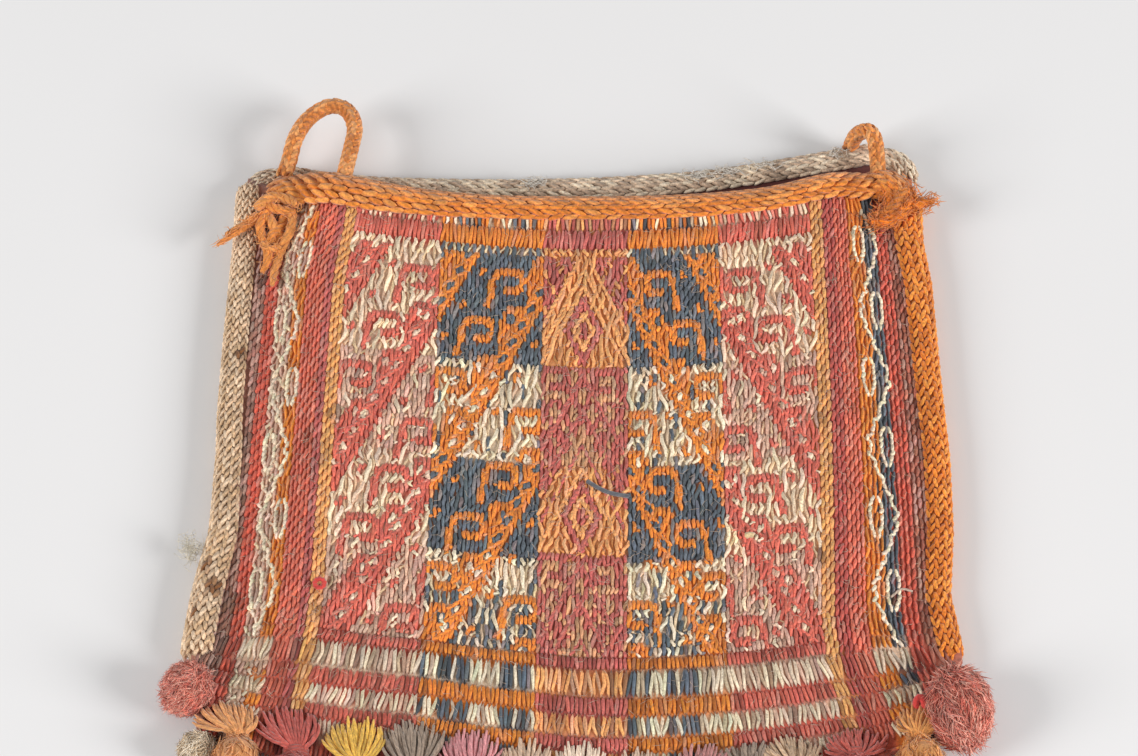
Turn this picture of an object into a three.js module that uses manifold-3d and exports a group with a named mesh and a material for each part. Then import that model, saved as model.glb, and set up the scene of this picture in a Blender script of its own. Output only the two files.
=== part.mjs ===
// A small woven wool bag lying on its back: +X right, +Y towards the mouth, +Z up, in millimetres.
// The cloth is one wall folded at the foot, with tubular edgings, two cord loops, tassels and pompoms.
import * as THREE from "three";
import { mergeVertices } from "three/addons/utils/BufferGeometryUtils.js";
import Module from "manifold-3d";

const wasm = await Module();
wasm.setup();

// Driving dimensions, in millimetres.
// Cloth: its outline, the droop of the weft lines and the gap between the two walls.
const MOUTH_WIDTH = 141;
const FOOT_WIDTH = 149;
const SIDE_LENGTH = 123;
const MOUTH_BOW = 9.5;
const FOOT_BOW = 12;
const BACK_BOW = 6;
const BACK_LIP_LEFT = 5.8;
const BACK_LIP_RIGHT = 10.5;
const LIP_DROP_LEFT = 3;
const LIP_DROP_RIGHT = 6;
const LIP_DROP_SPAN = 8;
const RIGHT_BULGE = 1.5;
const CLOTH = 1.3;
const PUFF = 7.5;
const PUFF_RUN = 15;
const FOOT_RUN = 20;
const SEAM_GAP = 0.3;
const SEAM_BAND = 5;
const CORNER_PULL = 6;
const CORNER_START = 10;
const CORNER_RUN = 4.5;

// Weave: raised warp yarns along the bag and raised bars across its foot.
const WARP_PITCH = 3;
const WARP_RELIEF = 0.3;
const BAR_START = 10;
const BAR_PITCH = 4.5;
const BAR_RELIEF = 0.35;

// Edgings: tubes slotted over the cloth, with stitch lumps.
const SIDE_EDGING_WIDTH = 6.4;
const SIDE_EDGING_DEPTH = 5.4;
const MOUTH_EDGING_WIDTH = 5.6;
const FRONT_EDGING_DEPTH = 4.6;
const BACK_EDGING_DEPTH = 4.0;
const EDGING_SKIN = 1.2;
const STITCH_PITCH = 2.6;
const STITCH_LUMP = 0.06;

// Loops and ties: where they leave the mouth, from the cloth's side edges, and how far they reach.
const CORD_DIAMETER = 3;
const LOOP_INSET = 8;
const LEFT_LOOP_WIDTH = 13.5;
const LEFT_LOOP_REACH = 16.4;
const RIGHT_LOOP_RISE = 5.6;
const TAIL_DIAMETER = 1.4;
const TAIL_LENGTH = 13.5;
const TIE_INSET = 9;
const TIE_DROP = 13;
const KNOT_WIDTH = 6.8;
const KNOT_HEIGHT = 3.2;

// Tassels, pompoms and the bead
const TASSEL_DIAMETER = 9.7;
const TASSEL_GAP = 0.5;
const TASSEL_FAN = 8;
const TASSEL_NECK = 4.4;
const POMPOM_DIAMETER = 11.6;
const RIGHT_POMPOM_LENGTH = 17;
const CREAM_POMPOM_DIAMETER = 7.6;
const BEAD_DIAMETER = 2.7;
const BEAD_TUBE = 0.9;
const BEAD_INSET = 24;
const BEAD_RISE = 26.5;
const STRAND_RELIEF = 0.07;

// Gaps: between neighbouring pieces and under the pieces that don't carry the bag.
const CLEAR = 0.3;
const FLOOR_GAP = 0.2;

// The cloth's edges run this far inside the outline, because the side edgings cover them.
const EDGE_INSET = EDGING_SKIN + CLEAR;
const SEAM_THICKNESS = 2 * CLOTH + SEAM_GAP;
const SIDE_LIFT = SIDE_EDGING_DEPTH / 2 - SEAM_THICKNESS / 2 + FLOOR_GAP;
const MOUTH_LIFT = BACK_EDGING_DEPTH / 2 - CLOTH / 2 + FLOOR_GAP;

const { lerp, smoothstep } = THREE.MathUtils;

/** The cloth's reach to one side (-1 left, 1 right) on the row a given distance above the foot. */
function clothHalf(sideRise, side = -1) {
  const share = sideRise / SIDE_LENGTH;
  const outline = lerp(FOOT_WIDTH, MOUTH_WIDTH, share) / 2;
  const drawnIn = 1 - smoothstep(sideRise, CORNER_START, CORNER_START + CORNER_RUN);
  const bulge = side > 0 ? RIGHT_BULGE * 4 * share * (1 - share) : 0;
  return outline + bulge - EDGE_INSET - CORNER_PULL * drawnIn;
}

/** The foot's height in Y at a share u (-1 to 1) across the cloth. */
function footY(u) {
  return -FOOT_BOW * (1 - u * u);
}

/** The front wall's mouth edge in Y at a share u across. */
function frontTopY(u) {
  return SIDE_LENGTH - MOUTH_BOW * (1 - u * u);
}

/** The back wall's mouth edge in Y at a share u across. */
function backTopY(u) {
  const lip = lerp(BACK_LIP_LEFT, BACK_LIP_RIGHT, (u + 1) / 2);
  const fromCorner = (1 - Math.abs(u)) * clothHalf(SIDE_LENGTH);
  const corner = 1 - smoothstep(fromCorner, 0, LIP_DROP_SPAN);
  const drop = (u < 0 ? LIP_DROP_LEFT : LIP_DROP_RIGHT) * corner;
  return SIDE_LENGTH + lip - drop - BACK_BOW * (1 - u * u);
}

/** How far the walls have parted at a distance from the seam: 0 at the side seam, 1 inside the bag. */
function parted(fromEdge) {
  return smoothstep(fromEdge, SEAM_BAND, SEAM_BAND + PUFF_RUN);
}

/** Height of the back wall's lower face, lifted at the sides and mouth where edgings lie under it. */
function backZ(fromEdge, fromMouth) {
  const atMouth = 1 - smoothstep(fromMouth, SEAM_BAND, SEAM_BAND + PUFF_RUN);
  return Math.max(SIDE_LIFT * (1 - parted(fromEdge)), MOUTH_LIFT * atMouth);
}

/** Height of the front wall's upper face. */
function frontZ(fromEdge, fromFoot, fromMouth) {
  const open = parted(fromEdge) * smoothstep(fromFoot, SEAM_BAND, SEAM_BAND + FOOT_RUN);
  const laid = SIDE_LIFT * (1 - parted(fromEdge)) + SEAM_THICKNESS + PUFF * open;
  return Math.max(laid, backZ(fromEdge, fromMouth) + SEAM_THICKNESS);
}

/** One point of the cloth: a share u across, a share v from foot to mouth, on the front or back wall. */
function clothPoint(u, v, isFront, depth = 0) {
  const half = clothHalf(v * SIDE_LENGTH, Math.sign(u));
  const y = lerp(footY(u), isFront ? frontTopY(u) : backTopY(u), v);
  const fromEdge = half * (1 - Math.abs(u));
  const fromFoot = y - footY(u);
  const fromMouth = backTopY(u) - y;
  const z = isFront
    ? frontZ(fromEdge, fromFoot, fromMouth) - depth
    : backZ(fromEdge, fromMouth) + depth;
  return new THREE.Vector3(u * half, y, z);
}

/** The share across the cloth that lies at x, near the mouth. */
function shareAtMouth(x) {
  return x / clothHalf(SIDE_LENGTH);
}

/** Height of the front wall's upper face over a point of the plan. */
function frontSurface(x, y) {
  let v = 0.5;
  let u = 0;
  for (let step = 0; step < 12; step += 1) {
    u = THREE.MathUtils.clamp(x / clothHalf(v * SIDE_LENGTH, Math.sign(x)), -1, 1);
    v = THREE.MathUtils.clamp((y - footY(u)) / (frontTopY(u) - footY(u)), 0, 1);
  }
  return clothPoint(u, v, true).z + WARP_RELIEF + BAR_RELIEF;
}

/** A closed geometry from points and triangles, turned so that its faces point out. */
function closedGeometry(points, triangles) {
  let volume = 0;
  for (const [a, b, c] of triangles) {
    volume += points[a].dot(points[b].clone().cross(points[c]));
  }
  const faces = volume < 0 ? triangles.map(([a, b, c]) => [a, c, b]) : triangles;
  const geometry = new THREE.BufferGeometry().setFromPoints(points);
  geometry.setIndex(faces.flat());
  geometry.computeVertexNormals();
  return geometry;
}

/** Triangles between two closed loops, given by their first indices and point counts. */
function stitchLoops(firstA, countA, firstB, countB) {
  const triangles = [];
  let a = 0;
  let b = 0;
  while (a < countA || b < countB) {
    const stepA = b >= countB || (a < countA && (a + 1) / countA <= (b + 1) / countB);
    const ia = firstA + (a % countA);
    const ib = firstB + (b % countB);
    if (stepA) {
      triangles.push([ia, firstA + ((a + 1) % countA), ib]);
      a += 1;
    } else {
      triangles.push([ia, firstB + ((b + 1) % countB), ib]);
      b += 1;
    }
  }
  return triangles;
}

/** Triangles that close a flat loop made of a front run and the same count of points run back. */
function capLoop(first, count, turned) {
  const triangles = [];
  for (let i = 0; i < count / 2 - 1; i += 1) {
    const front = [first + i, first + i + 1];
    const back = [first + count - 1 - i, first + count - 2 - i];
    const pair = [
      [front[0], back[0], front[1]],
      [front[1], back[0], back[1]],
    ];
    triangles.push(...(turned ? pair.map(([a, b, c]) => [a, c, b]) : pair));
  }
  return triangles;
}

/** The relief of one warp yarn on the front: ridges between the seams, foot and mouth. */
function frontRelief(column, u, row) {
  const inside = row.weave && clothHalf(row.rise) * (1 - Math.abs(u)) > SEAM_BAND + CLEAR;
  if (!inside) return 0;
  return (column % 2) * WARP_RELIEF + (row.bar ? BAR_RELIEF : 0);
}

/** The relief of the back: paired crests that the bag lies on, with valleys between them. */
function backRelief(column, u, row) {
  const inside = row.weave && clothHalf(row.rise) * (1 - Math.abs(u)) > SEAM_BAND + CLEAR;
  return inside && column % 4 > 1 ? WARP_RELIEF : 0;
}

/** The bag's cloth: outer face from foot to mouth, over the rim, and the inner face down again. */
function clothGeometry() {
  const columns = 2 * Math.round(FOOT_WIDTH / WARP_PITCH) - 1;
  const innerColumns = 52;
  const rows = [{ rise: 0, squash: 0.42 }, { rise: CLOTH }, { rise: BAR_START * 0.6, weave: true }];
  for (let bar = 0; bar < 5; bar += 1) {
    rows.push({ rise: BAR_START + bar * BAR_PITCH, weave: true, bar: bar % 2 === 1 });
  }
  const plainFrom = BAR_START + 5 * BAR_PITCH;
  const plainTo = SIDE_LENGTH - SEAM_BAND - MOUTH_EDGING_WIDTH / 4;
  for (let step = 0; step <= 4; step += 1) {
    rows.push({ rise: lerp(plainFrom, plainTo, step / 4), weave: step < 4 });
  }
  rows.push({ rise: SIDE_LENGTH });

  const points = [];
  const triangles = [];
  const loopCount = 2 * columns;
  rows.forEach((row, rowIndex) => {
    const v = row.rise / SIDE_LENGTH;
    const loop = [];
    for (let column = 0; column < columns; column += 1) {
      const u = (2 * column) / (columns - 1) - 1;
      const front = clothPoint(u, v, true);
      const back = clothPoint(u, v, false);
      const middle = (front.z + back.z) / 2;
      const squash = row.squash ?? 1;
      front.z = lerp(middle, front.z, squash) + frontRelief(column, u, row);
      back.z = lerp(middle, back.z, squash) + backRelief(column, u, row);
      loop[column] = front;
      loop[loopCount - 1 - column] = back;
    }
    if (rowIndex > 0) {
      triangles.push(...stitchLoops(points.length - loopCount, loopCount, points.length, loopCount));
    }
    points.push(...loop);
  });
  triangles.push(...capLoop(0, loopCount, false));

  const innerCount = 2 * innerColumns;
  const puffed = SEAM_BAND + FOOT_RUN;
  const innerRises = [
    SIDE_LENGTH,
    SIDE_LENGTH - PUFF_RUN / 2,
    SIDE_LENGTH - 1.25 * PUFF_RUN,
    puffed + SEAM_BAND,
    puffed * 0.65,
    SEAM_BAND + CLEAR,
  ];
  innerRises.forEach((rise, index) => {
    const v = rise / SIDE_LENGTH;
    const half = clothHalf(rise);
    const loop = [];
    for (let column = 0; column < innerColumns; column += 1) {
      const u = ((2 * column) / (innerColumns - 1) - 1) * (1 - SEAM_BAND / half);
      loop[column] = clothPoint(u, v, true, CLOTH);
      loop[innerCount - 1 - column] = clothPoint(u, v, false, CLOTH);
    }
    const before = index === 0 ? loopCount : innerCount;
    triangles.push(...stitchLoops(points.length - before, before, points.length, innerCount));
    points.push(...loop);
  });
  triangles.push(...capLoop(points.length - innerCount, innerCount, true));
  return closedGeometry(points, triangles);
}

/** The section of an edging: a tube with a slot for cloth of a given thickness, in (out, up) axes. */
function edgingSection(width, depth, clothThickness) {
  const slot = clothThickness / 2 + CLEAR;
  const lip = Math.PI - Math.asin(slot / (depth / 2));
  const centre = EDGE_INSET - width / 2;
  const section = [];
  for (let step = 0; step <= 6; step += 1) {
    const angle = lip * (1 - step / 3);
    section.push(new THREE.Vector2(centre + (width / 2) * Math.cos(angle), (depth / 2) * Math.sin(angle)));
  }
  section.push(new THREE.Vector2(CLEAR, -slot), new THREE.Vector2(CLEAR, slot));
  return section;
}

/** A section swept along stations, each with an origin and the section's two axes. */
function sweepSection(section, stations) {
  const points = [];
  const triangles = [];
  const count = section.length;
  stations.forEach(({ origin, out, up }, index) => {
    const lump = 1 + (index % 2 ? STITCH_LUMP : -STITCH_LUMP);
    section.forEach((corner, cornerIndex) => {
      const size = cornerIndex > 0 && cornerIndex < 6 ? lump : 1;
      points.push(
        origin.clone().addScaledVector(out, corner.x).addScaledVector(up, corner.y * size),
      );
    });
    if (index > 0) {
      triangles.push(...stitchLoops((index - 1) * count, count, index * count, count));
    }
  });
  const cap = THREE.ShapeUtils.triangulateShape(section, []);
  const last = (stations.length - 1) * count;
  const turned = THREE.ShapeUtils.isClockWise(section);
  for (const [a, b, c] of cap) {
    triangles.push(turned ? [a, b, c] : [a, c, b]);
    triangles.push(turned ? [last + a, last + c, last + b] : [last + a, last + b, last + c]);
  }
  return closedGeometry(points, triangles);
}

/** A side edging: from the drawn-in corner at the foot to the top of the back wall. */
function sideEdging(side) {
  const from = CORNER_START + CORNER_RUN;
  const to = backTopY(side);
  const steps = Math.round((to - from) / STITCH_PITCH);
  const stations = [];
  for (let step = 0; step <= steps; step += 1) {
    const rise = lerp(from, to, step / steps);
    const half = clothHalf(Math.max(from, (rise * SIDE_LENGTH) / to), side);
    const edge = new THREE.Vector3(side * half, rise, SIDE_LIFT + SEAM_THICKNESS / 2);
    stations.push({
      origin: edge,
      out: new THREE.Vector3(side, 0, 0),
      up: new THREE.Vector3(0, 0, 1),
    });
  }
  return sweepSection(edgingSection(SIDE_EDGING_WIDTH, SIDE_EDGING_DEPTH, SEAM_THICKNESS), stations);
}

/** The middle of a wall's thickness along its mouth edge at a share u across. */
function mouthMiddle(u, isFront) {
  return clothPoint(u, 1, isFront, CLOTH / 2);
}

/** A mouth edging between two shares across, following the wall's edge. */
function mouthEdging(fromU, toU, isFront, depth) {
  const steps = Math.round(((toU - fromU) * clothHalf(SIDE_LENGTH)) / STITCH_PITCH);
  const stations = [];
  for (let step = 0; step <= steps; step += 1) {
    const u = lerp(fromU, toU, step / steps);
    const before = mouthMiddle(u - 0.01, isFront);
    const after = mouthMiddle(u + 0.01, isFront);
    const along = after.sub(before).setY(0).normalize();
    const out = new THREE.Vector3(0, 1, 0);
    stations.push({ origin: mouthMiddle(u, isFront), out, up: along.clone().cross(out) });
  }
  return sweepSection(edgingSection(MOUTH_EDGING_WIDTH, depth, CLOTH), stations);
}

/** How far across the front edging can reach before its inner lip meets the back wall. */
function frontEdgingReach() {
  const need = (FRONT_EDGING_DEPTH / 2) * (1 + STITCH_LUMP) + CLEAR;
  let u = 1;
  let room = 0;
  while (room < need && u > 0.5) {
    u -= 0.002;
    const wall = mouthMiddle(u, true);
    const fromEdge = clothHalf(SIDE_LENGTH) * (1 - u);
    room = wall.z - backZ(fromEdge, backTopY(-u) - wall.y) - CLOTH;
  }
  return u;
}

/** A round cord of a given diameter along a smooth path, with closed ends. */
function cordGeometry(pathPoints, diameter, steps, segments = 5) {
  const path = new THREE.CatmullRomCurve3(pathPoints, false, "centripetal");
  const section = new THREE.Shape();
  section.absarc(0, 0, diameter / 2, 0, 2 * Math.PI, false);
  const cord = new THREE.ExtrudeGeometry(section, {
    steps,
    curveSegments: segments,
    bevelEnabled: false,
    extrudePath: path,
  });
  return cord;
}

/** Where a cord can leave the front mouth edging at x, over the back edging. */
function loopStart(x) {
  const u = shareAtMouth(x);
  const wall = mouthMiddle(u, true);
  const backTop = mouthMiddle(u, false).z + (BACK_EDGING_DEPTH / 2) * (1 + STITCH_LUMP);
  const height = Math.max(wall.z, backTop + 2 * CLEAR + CORD_DIAMETER / 2);
  return new THREE.Vector3(x, wall.y + EDGE_INSET + CLEAR, height);
}

/** The left loop: it leaves the mouth, lies back over the back edging and returns. */
function leftLoop() {
  const fromX = LOOP_INSET - clothHalf(SIDE_LENGTH);
  const from = loopStart(fromX);
  const to = loopStart(fromX + LEFT_LOOP_WIDTH);
  const height = Math.max(from.z, to.z);
  const at = (across, along, drop) =>
    new THREE.Vector3(
      fromX + across * LEFT_LOOP_WIDTH,
      from.y + along * LEFT_LOOP_REACH,
      height - drop * CORD_DIAMETER,
    );
  const path = [
    from,
    at(0.05, 0.24, 0.1).setZ(from.z + 0.13 * CORD_DIAMETER),
    at(0.25, 0.59, 0.4),
    at(0.5, 0.89, 0.47),
    at(0.76, 1, 0.53),
    at(0.98, 0.85, 0.47),
    at(1.07, 0.55, 0.27),
    at(1.04, 0.2, 0),
    to,
  ];
  return cordGeometry(path, CORD_DIAMETER, 26);
}

/** The right loop: it stands over the back edging and comes down behind it. */
function rightLoop() {
  const fromX = clothHalf(SIDE_LENGTH) - LOOP_INSET;
  const from = loopStart(fromX);
  const toX = fromX - 1.35 * CORD_DIAMETER;
  const behind = mouthMiddle(shareAtMouth(toX), false);
  const behindY = behind.y + EDGE_INSET + CLEAR + CORD_DIAMETER / 2;
  const at = (across, along, rise) =>
    new THREE.Vector3(
      lerp(fromX, toX, across),
      lerp(from.y, behindY, along),
      from.z + rise * RIGHT_LOOP_RISE,
    );
  const path = [
    from,
    at(-0.1, 0.17, 0.5),
    at(0, 0.42, 1),
    at(0.35, 0.76, 0.93),
    at(0.75, 1, 0.46),
    at(1, 1.02, 0).setZ(behind.z),
  ];
  return cordGeometry(path, CORD_DIAMETER, 22);
}

/** A lumpy ball: a sphere with its meridians raised as strands. */
function ballGeometry(radiusX, radiusY, radiusZ, strands, rings) {
  const ball = new THREE.SphereGeometry(1, 2 * strands, rings);
  const place = ball.getAttribute("position");
  const point = new THREE.Vector3();
  for (let i = 0; i < place.count; i += 1) {
    point.fromBufferAttribute(place, i);
    const column = Math.round((Math.atan2(point.z, -point.x) / Math.PI) * strands);
    const relief = 1 - STRAND_RELIEF * Math.abs(column % 2) * Math.hypot(point.x, point.z);
    place.setXYZ(i, point.x * radiusX * relief, point.y * radiusY, point.z * radiusZ * relief);
  }
  ball.deleteAttribute("normal");
  ball.deleteAttribute("uv");
  const merged = mergeVertices(ball, 1e-4);
  merged.computeVertexNormals();
  return merged;
}

/** A geometry as a solid for boolean work. */
function toSolid(geometry) {
  const bare = new THREE.BufferGeometry();
  bare.setAttribute("position", geometry.getAttribute("position").clone());
  if (geometry.index) bare.setIndex(geometry.index.clone());
  const merged = mergeVertices(bare, 1e-4);
  return new wasm.Manifold(
    new wasm.Mesh({
      numProp: 3,
      vertProperties: new Float32Array(merged.getAttribute("position").array),
      triVerts: new Uint32Array(merged.index.array),
    }),
  );
}

/** Several geometries joined into one closed geometry. */
function joinGeometries(geometries) {
  const joined = geometries.map(toSolid).reduce((whole, solid) => whole.add(solid));
  const result = joined.getMesh();
  const geometry = new THREE.BufferGeometry();
  geometry.setAttribute("position", new THREE.BufferAttribute(result.vertProperties.slice(), 3));
  geometry.setIndex(new THREE.BufferAttribute(result.triVerts.slice(), 1));
  geometry.computeVertexNormals();
  return geometry;
}

/** A point at a height above the front wall. */
function overFront(x, y, height) {
  return new THREE.Vector3(x, y, frontSurface(x, y) + CLEAR + height);
}

/** The height at which a yarn crosses a side edging. */
const OVER_SIDE_EDGING =
  SIDE_LIFT + SEAM_THICKNESS / 2 + (SIDE_EDGING_DEPTH / 2) * (1 + STITCH_LUMP) + CLEAR + TAIL_DIAMETER / 2;

/** The lowest a yarn may run at x: on the cloth, or over the side edging. */
function yarnPoint(x, y) {
  const point = overFront(x, y, TAIL_DIAMETER / 2);
  const nearEdging = Math.abs(x) > clothHalf(y, Math.sign(x)) - SIDE_EDGING_WIDTH;
  if (nearEdging) point.z = Math.max(point.z, OVER_SIDE_EDGING);
  return point;
}

/** A tie at a corner of the mouth: a knot with yarn tails. */
function tieGeometry(knot, knotRadii, tails) {
  const [radiusX, radiusY, radiusZ] = knotRadii;
  const centre = overFront(knot.x, knot.y, radiusZ);
  centre.z = Math.max(centre.z, OVER_SIDE_EDGING + radiusZ - TAIL_DIAMETER / 2);
  const ball = ballGeometry(radiusX, radiusY, radiusZ, 6, 8).translate(centre.x, centre.y, centre.z);
  const cords = tails.map((tail) => {
    const path = [centre, ...tail.map(([x, y]) => yarnPoint(x, y))];
    return cordGeometry(path, TAIL_DIAMETER, 8, 3);
  });
  return joinGeometries([ball, ...cords]);
}

/** A tassel: a fan of strands on the cloth, a neck at the foot and a ball beyond it. */
function tasselGeometry(x) {
  const sides = 14;
  const u = x / clothHalf(0);
  const foot = footY(u);
  const radius = TASSEL_DIAMETER / 2;
  const neck = TASSEL_NECK / 2;
  const ballY = foot - radius - 2 * CLEAR;
  const ballZ = radius + FLOOR_GAP;
  const fanTop = overFront(x, foot + TASSEL_FAN, 0.9).z;
  const fanMiddle = overFront(x, foot + TASSEL_FAN / 2, 1.2).z;
  const neckZ = Math.max(overFront(x, foot, neck).z, fanMiddle - 0.4);
  const sections = [
    { y: foot + TASSEL_FAN, z: fanTop, wide: radius * 0.86, thick: 0.7 },
    { y: foot + TASSEL_FAN / 2, z: fanMiddle, wide: radius * 0.98, thick: 1.1 },
    { y: foot + 0.6, z: neckZ, wide: neck, thick: neck },
    { y: lerp(foot, ballY, 0.3), z: lerp(neckZ, ballZ, 0.2), wide: radius * 0.62, thick: radius * 0.48 },
    { y: lerp(foot, ballY, 0.64), z: ballZ, wide: radius * 0.9, thick: radius * 0.86 },
    { y: ballY - radius * 0.1, z: ballZ, wide: radius, thick: radius },
    { y: ballY - radius * 0.6, z: ballZ, wide: radius * 0.82, thick: radius * 0.82 },
    { y: ballY - radius, z: ballZ, wide: radius * 0.34, thick: radius * 0.34 },
  ];
  const points = [];
  const triangles = [];
  sections.forEach(({ y, z, wide, thick }, index) => {
    for (let side = 0; side < sides; side += 1) {
      const angle = (2 * Math.PI * (side + 0.5)) / sides;
      const size = 1 - STRAND_RELIEF * (side % 2);
      points.push(
        new THREE.Vector3(x + wide * size * Math.cos(angle), y, z + thick * size * Math.sin(angle)),
      );
    }
    if (index > 0) {
      triangles.push(...stitchLoops((index - 1) * sides, sides, index * sides, sides));
    }
  });
  triangles.push(...capLoop(0, sides, false));
  triangles.push(...capLoop((sections.length - 1) * sides, sides, true));
  return closedGeometry(points, triangles);
}

/** A wool-coloured material. */
function wool(colour) {
  return new THREE.MeshStandardMaterial({ color: colour, roughness: 0.95, metalness: 0 });
}

const group = new THREE.Group();
group.name = "woven_wool_bag";

function addPiece(name, geometry, colour) {
  const piece = new THREE.Mesh(geometry, wool(colour));
  piece.name = name;
  group.add(piece);
  return piece;
}

addPiece("bag_cloth", clothGeometry(), 0xb9705a);
addPiece("left_side_edging", sideEdging(-1), 0xc4a88c);
addPiece("right_side_edging", sideEdging(1), 0xc77f4a);

const mouthHalf = clothHalf(SIDE_LENGTH);
const frontReach = frontEdgingReach();
const backReach = 1 - (SEAM_BAND + CLEAR) / mouthHalf;
addPiece("front_mouth_edging", mouthEdging(-frontReach, frontReach, true, FRONT_EDGING_DEPTH), 0xc38455);
addPiece("back_mouth_edging", mouthEdging(-backReach, backReach, false, BACK_EDGING_DEPTH), 0xbaa690);
addPiece("left_hanging_loop", leftLoop(), 0xc9823f);
addPiece("right_hanging_loop", rightLoop(), 0xc9823f);

// The ties hang on the front just below the ends of its mouth edging.
const tieX = mouthHalf - TIE_INSET;
const tieY = SIDE_LENGTH - TIE_DROP;
const knotRadii = [KNOT_WIDTH / 2, KNOT_WIDTH * 0.42, KNOT_HEIGHT / 2];
const leftTails = [
  [[0.3, 0], [0.68, 0.11], [1, 0.19]].map(([out, down]) => [
    -tieX - out * TAIL_LENGTH,
    tieY - down * TAIL_LENGTH,
  ]),
  [[0, 0.37], [-0.05, 0.67], [0, 0.89]].map(([out, down]) => [
    -tieX - out * TAIL_LENGTH,
    tieY - down * TAIL_LENGTH,
  ]),
];
const rightTails = [
  [[0.37, -0.11], [0.67, -0.19], [0.93, -0.23]].map(([out, down]) => [
    tieX + out * TAIL_LENGTH,
    tieY - down * TAIL_LENGTH,
  ]),
];
addPiece("left_tie_knot", tieGeometry({ x: -tieX, y: tieY }, knotRadii, leftTails), 0xc9823f);
addPiece("right_yarn_tuft", tieGeometry({ x: tieX, y: tieY }, knotRadii, rightTails), 0xb8743c);

const tasselColours = [
  0xc38c61, 0xab5c50, 0xc89c57, 0x8e7a68, 0xc88d8b, 0xcbaf97, 0xe4cbb3,
  0xcbaf97, 0xb37b74, 0x9a8674, 0xc8a98b, 0xa8584b, 0xc38454,
];
const tasselPitch = TASSEL_DIAMETER + TASSEL_GAP;
const tasselSpan = 2 * clothHalf(0) - TASSEL_DIAMETER;
const tasselCount = Math.floor(tasselSpan / tasselPitch) + 1;
for (let index = 0; index < tasselCount; index += 1) {
  const x = (index - (tasselCount - 1) / 2) * tasselPitch;
  const name = "tassel_" + String(index + 1).padStart(2, "0");
  addPiece(name, tasselGeometry(x), tasselColours[index % tasselColours.length]);
}

const pompomRadius = POMPOM_DIAMETER / 2;
const pompomX = clothHalf(0) - CLEAR + pompomRadius;
const pompomTop = CORNER_START + CORNER_RUN / 2;
const leftPompom = ballGeometry(pompomRadius, pompomRadius, pompomRadius, 8, 9);
leftPompom.translate(-pompomX, pompomTop - pompomRadius, pompomRadius + FLOOR_GAP);
addPiece("left_corner_pompom", leftPompom, 0xb46b5c);

const rightPompom = ballGeometry(pompomRadius, RIGHT_POMPOM_LENGTH / 2, pompomRadius, 8, 10);
rightPompom.translate(pompomX, pompomTop - RIGHT_POMPOM_LENGTH / 2, pompomRadius + FLOOR_GAP);
addPiece("right_corner_pompom", rightPompom, 0xab675a);

const creamRadius = CREAM_POMPOM_DIAMETER / 2;
const creamPompom = ballGeometry(creamRadius, creamRadius, creamRadius, 6, 7);
const creamDrop = Math.sqrt((pompomRadius + creamRadius + CLEAR) ** 2 - (pompomRadius - creamRadius) ** 2);
creamPompom.translate(-pompomX, pompomTop - pompomRadius - creamDrop, creamRadius + FLOOR_GAP);
addPiece("left_cream_pompom", creamPompom, 0xd8c2a4);

const bead = new THREE.TorusGeometry((BEAD_DIAMETER - BEAD_TUBE) / 2, BEAD_TUBE / 2, 8, 14);
const beadPlace = overFront(BEAD_INSET - clothHalf(BEAD_RISE), BEAD_RISE, BEAD_TUBE / 2);
bead.translate(beadPlace.x, beadPlace.y, beadPlace.z);
addPiece("red_bead", bead, 0xb03a34);

// The frame: the middle of the box's underside is the origin.
const box = new THREE.Box3().setFromObject(group);
const middle = box.getCenter(new THREE.Vector3());
for (const piece of group.children) {
  piece.geometry.translate(-middle.x, -middle.y, -box.min.z);
}

export default group;
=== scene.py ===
"""A woven wool bag with edgings, hanging loops, tassels and pompoms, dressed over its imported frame."""

import logging
import math
from dataclasses import dataclass, field
from enum import Enum
from typing import ClassVar

import bpy
import numpy as np
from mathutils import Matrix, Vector


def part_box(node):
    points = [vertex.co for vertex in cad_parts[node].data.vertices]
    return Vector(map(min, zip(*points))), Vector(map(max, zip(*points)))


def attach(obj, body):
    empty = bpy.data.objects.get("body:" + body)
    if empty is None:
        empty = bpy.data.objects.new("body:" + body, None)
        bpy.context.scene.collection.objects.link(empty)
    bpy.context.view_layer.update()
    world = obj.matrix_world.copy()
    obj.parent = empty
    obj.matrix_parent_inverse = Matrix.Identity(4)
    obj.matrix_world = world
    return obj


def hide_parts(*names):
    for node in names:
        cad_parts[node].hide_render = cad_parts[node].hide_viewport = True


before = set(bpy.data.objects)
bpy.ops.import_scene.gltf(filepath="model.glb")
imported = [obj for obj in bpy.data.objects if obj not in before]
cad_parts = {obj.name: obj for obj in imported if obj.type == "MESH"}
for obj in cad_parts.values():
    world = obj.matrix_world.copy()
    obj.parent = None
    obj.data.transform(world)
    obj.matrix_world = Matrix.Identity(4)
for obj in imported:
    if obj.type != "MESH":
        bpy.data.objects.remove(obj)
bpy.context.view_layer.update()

LOG = logging.getLogger("woven_wool_bag")
MM = 0.001
BODY = "root"
FOOT_BOW = 12.0
# The cloth's lowest point in plan is the middle of its bowed foot, which ties the frame to local sizes.
SHIFT_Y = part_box("bag_cloth")[0].y / MM + FOOT_BOW

Array = np.ndarray
Sizes = tuple[float, float, float]
Span = tuple[float, float]
Steps = tuple[float, ...]
Random = np.random.Generator
Piece = bpy.types.Object


def linear(red: float, green: float, blue: float) -> Array:
    """A display colour, 0 to 255, as linear light."""
    value = np.array([red, green, blue], float) / 255.0
    return np.where(value <= 0.04045, value / 12.92, ((value + 0.055) / 1.055) ** 2.4)


def smooth(value: Array | float, start: float, end: float) -> Array:
    """The smooth step from 0 at start to 1 at end."""
    share = np.clip((np.asarray(value, float) - start) / (end - start), 0.0, 1.0)
    return share * share * (3.0 - 2.0 * share)


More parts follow.
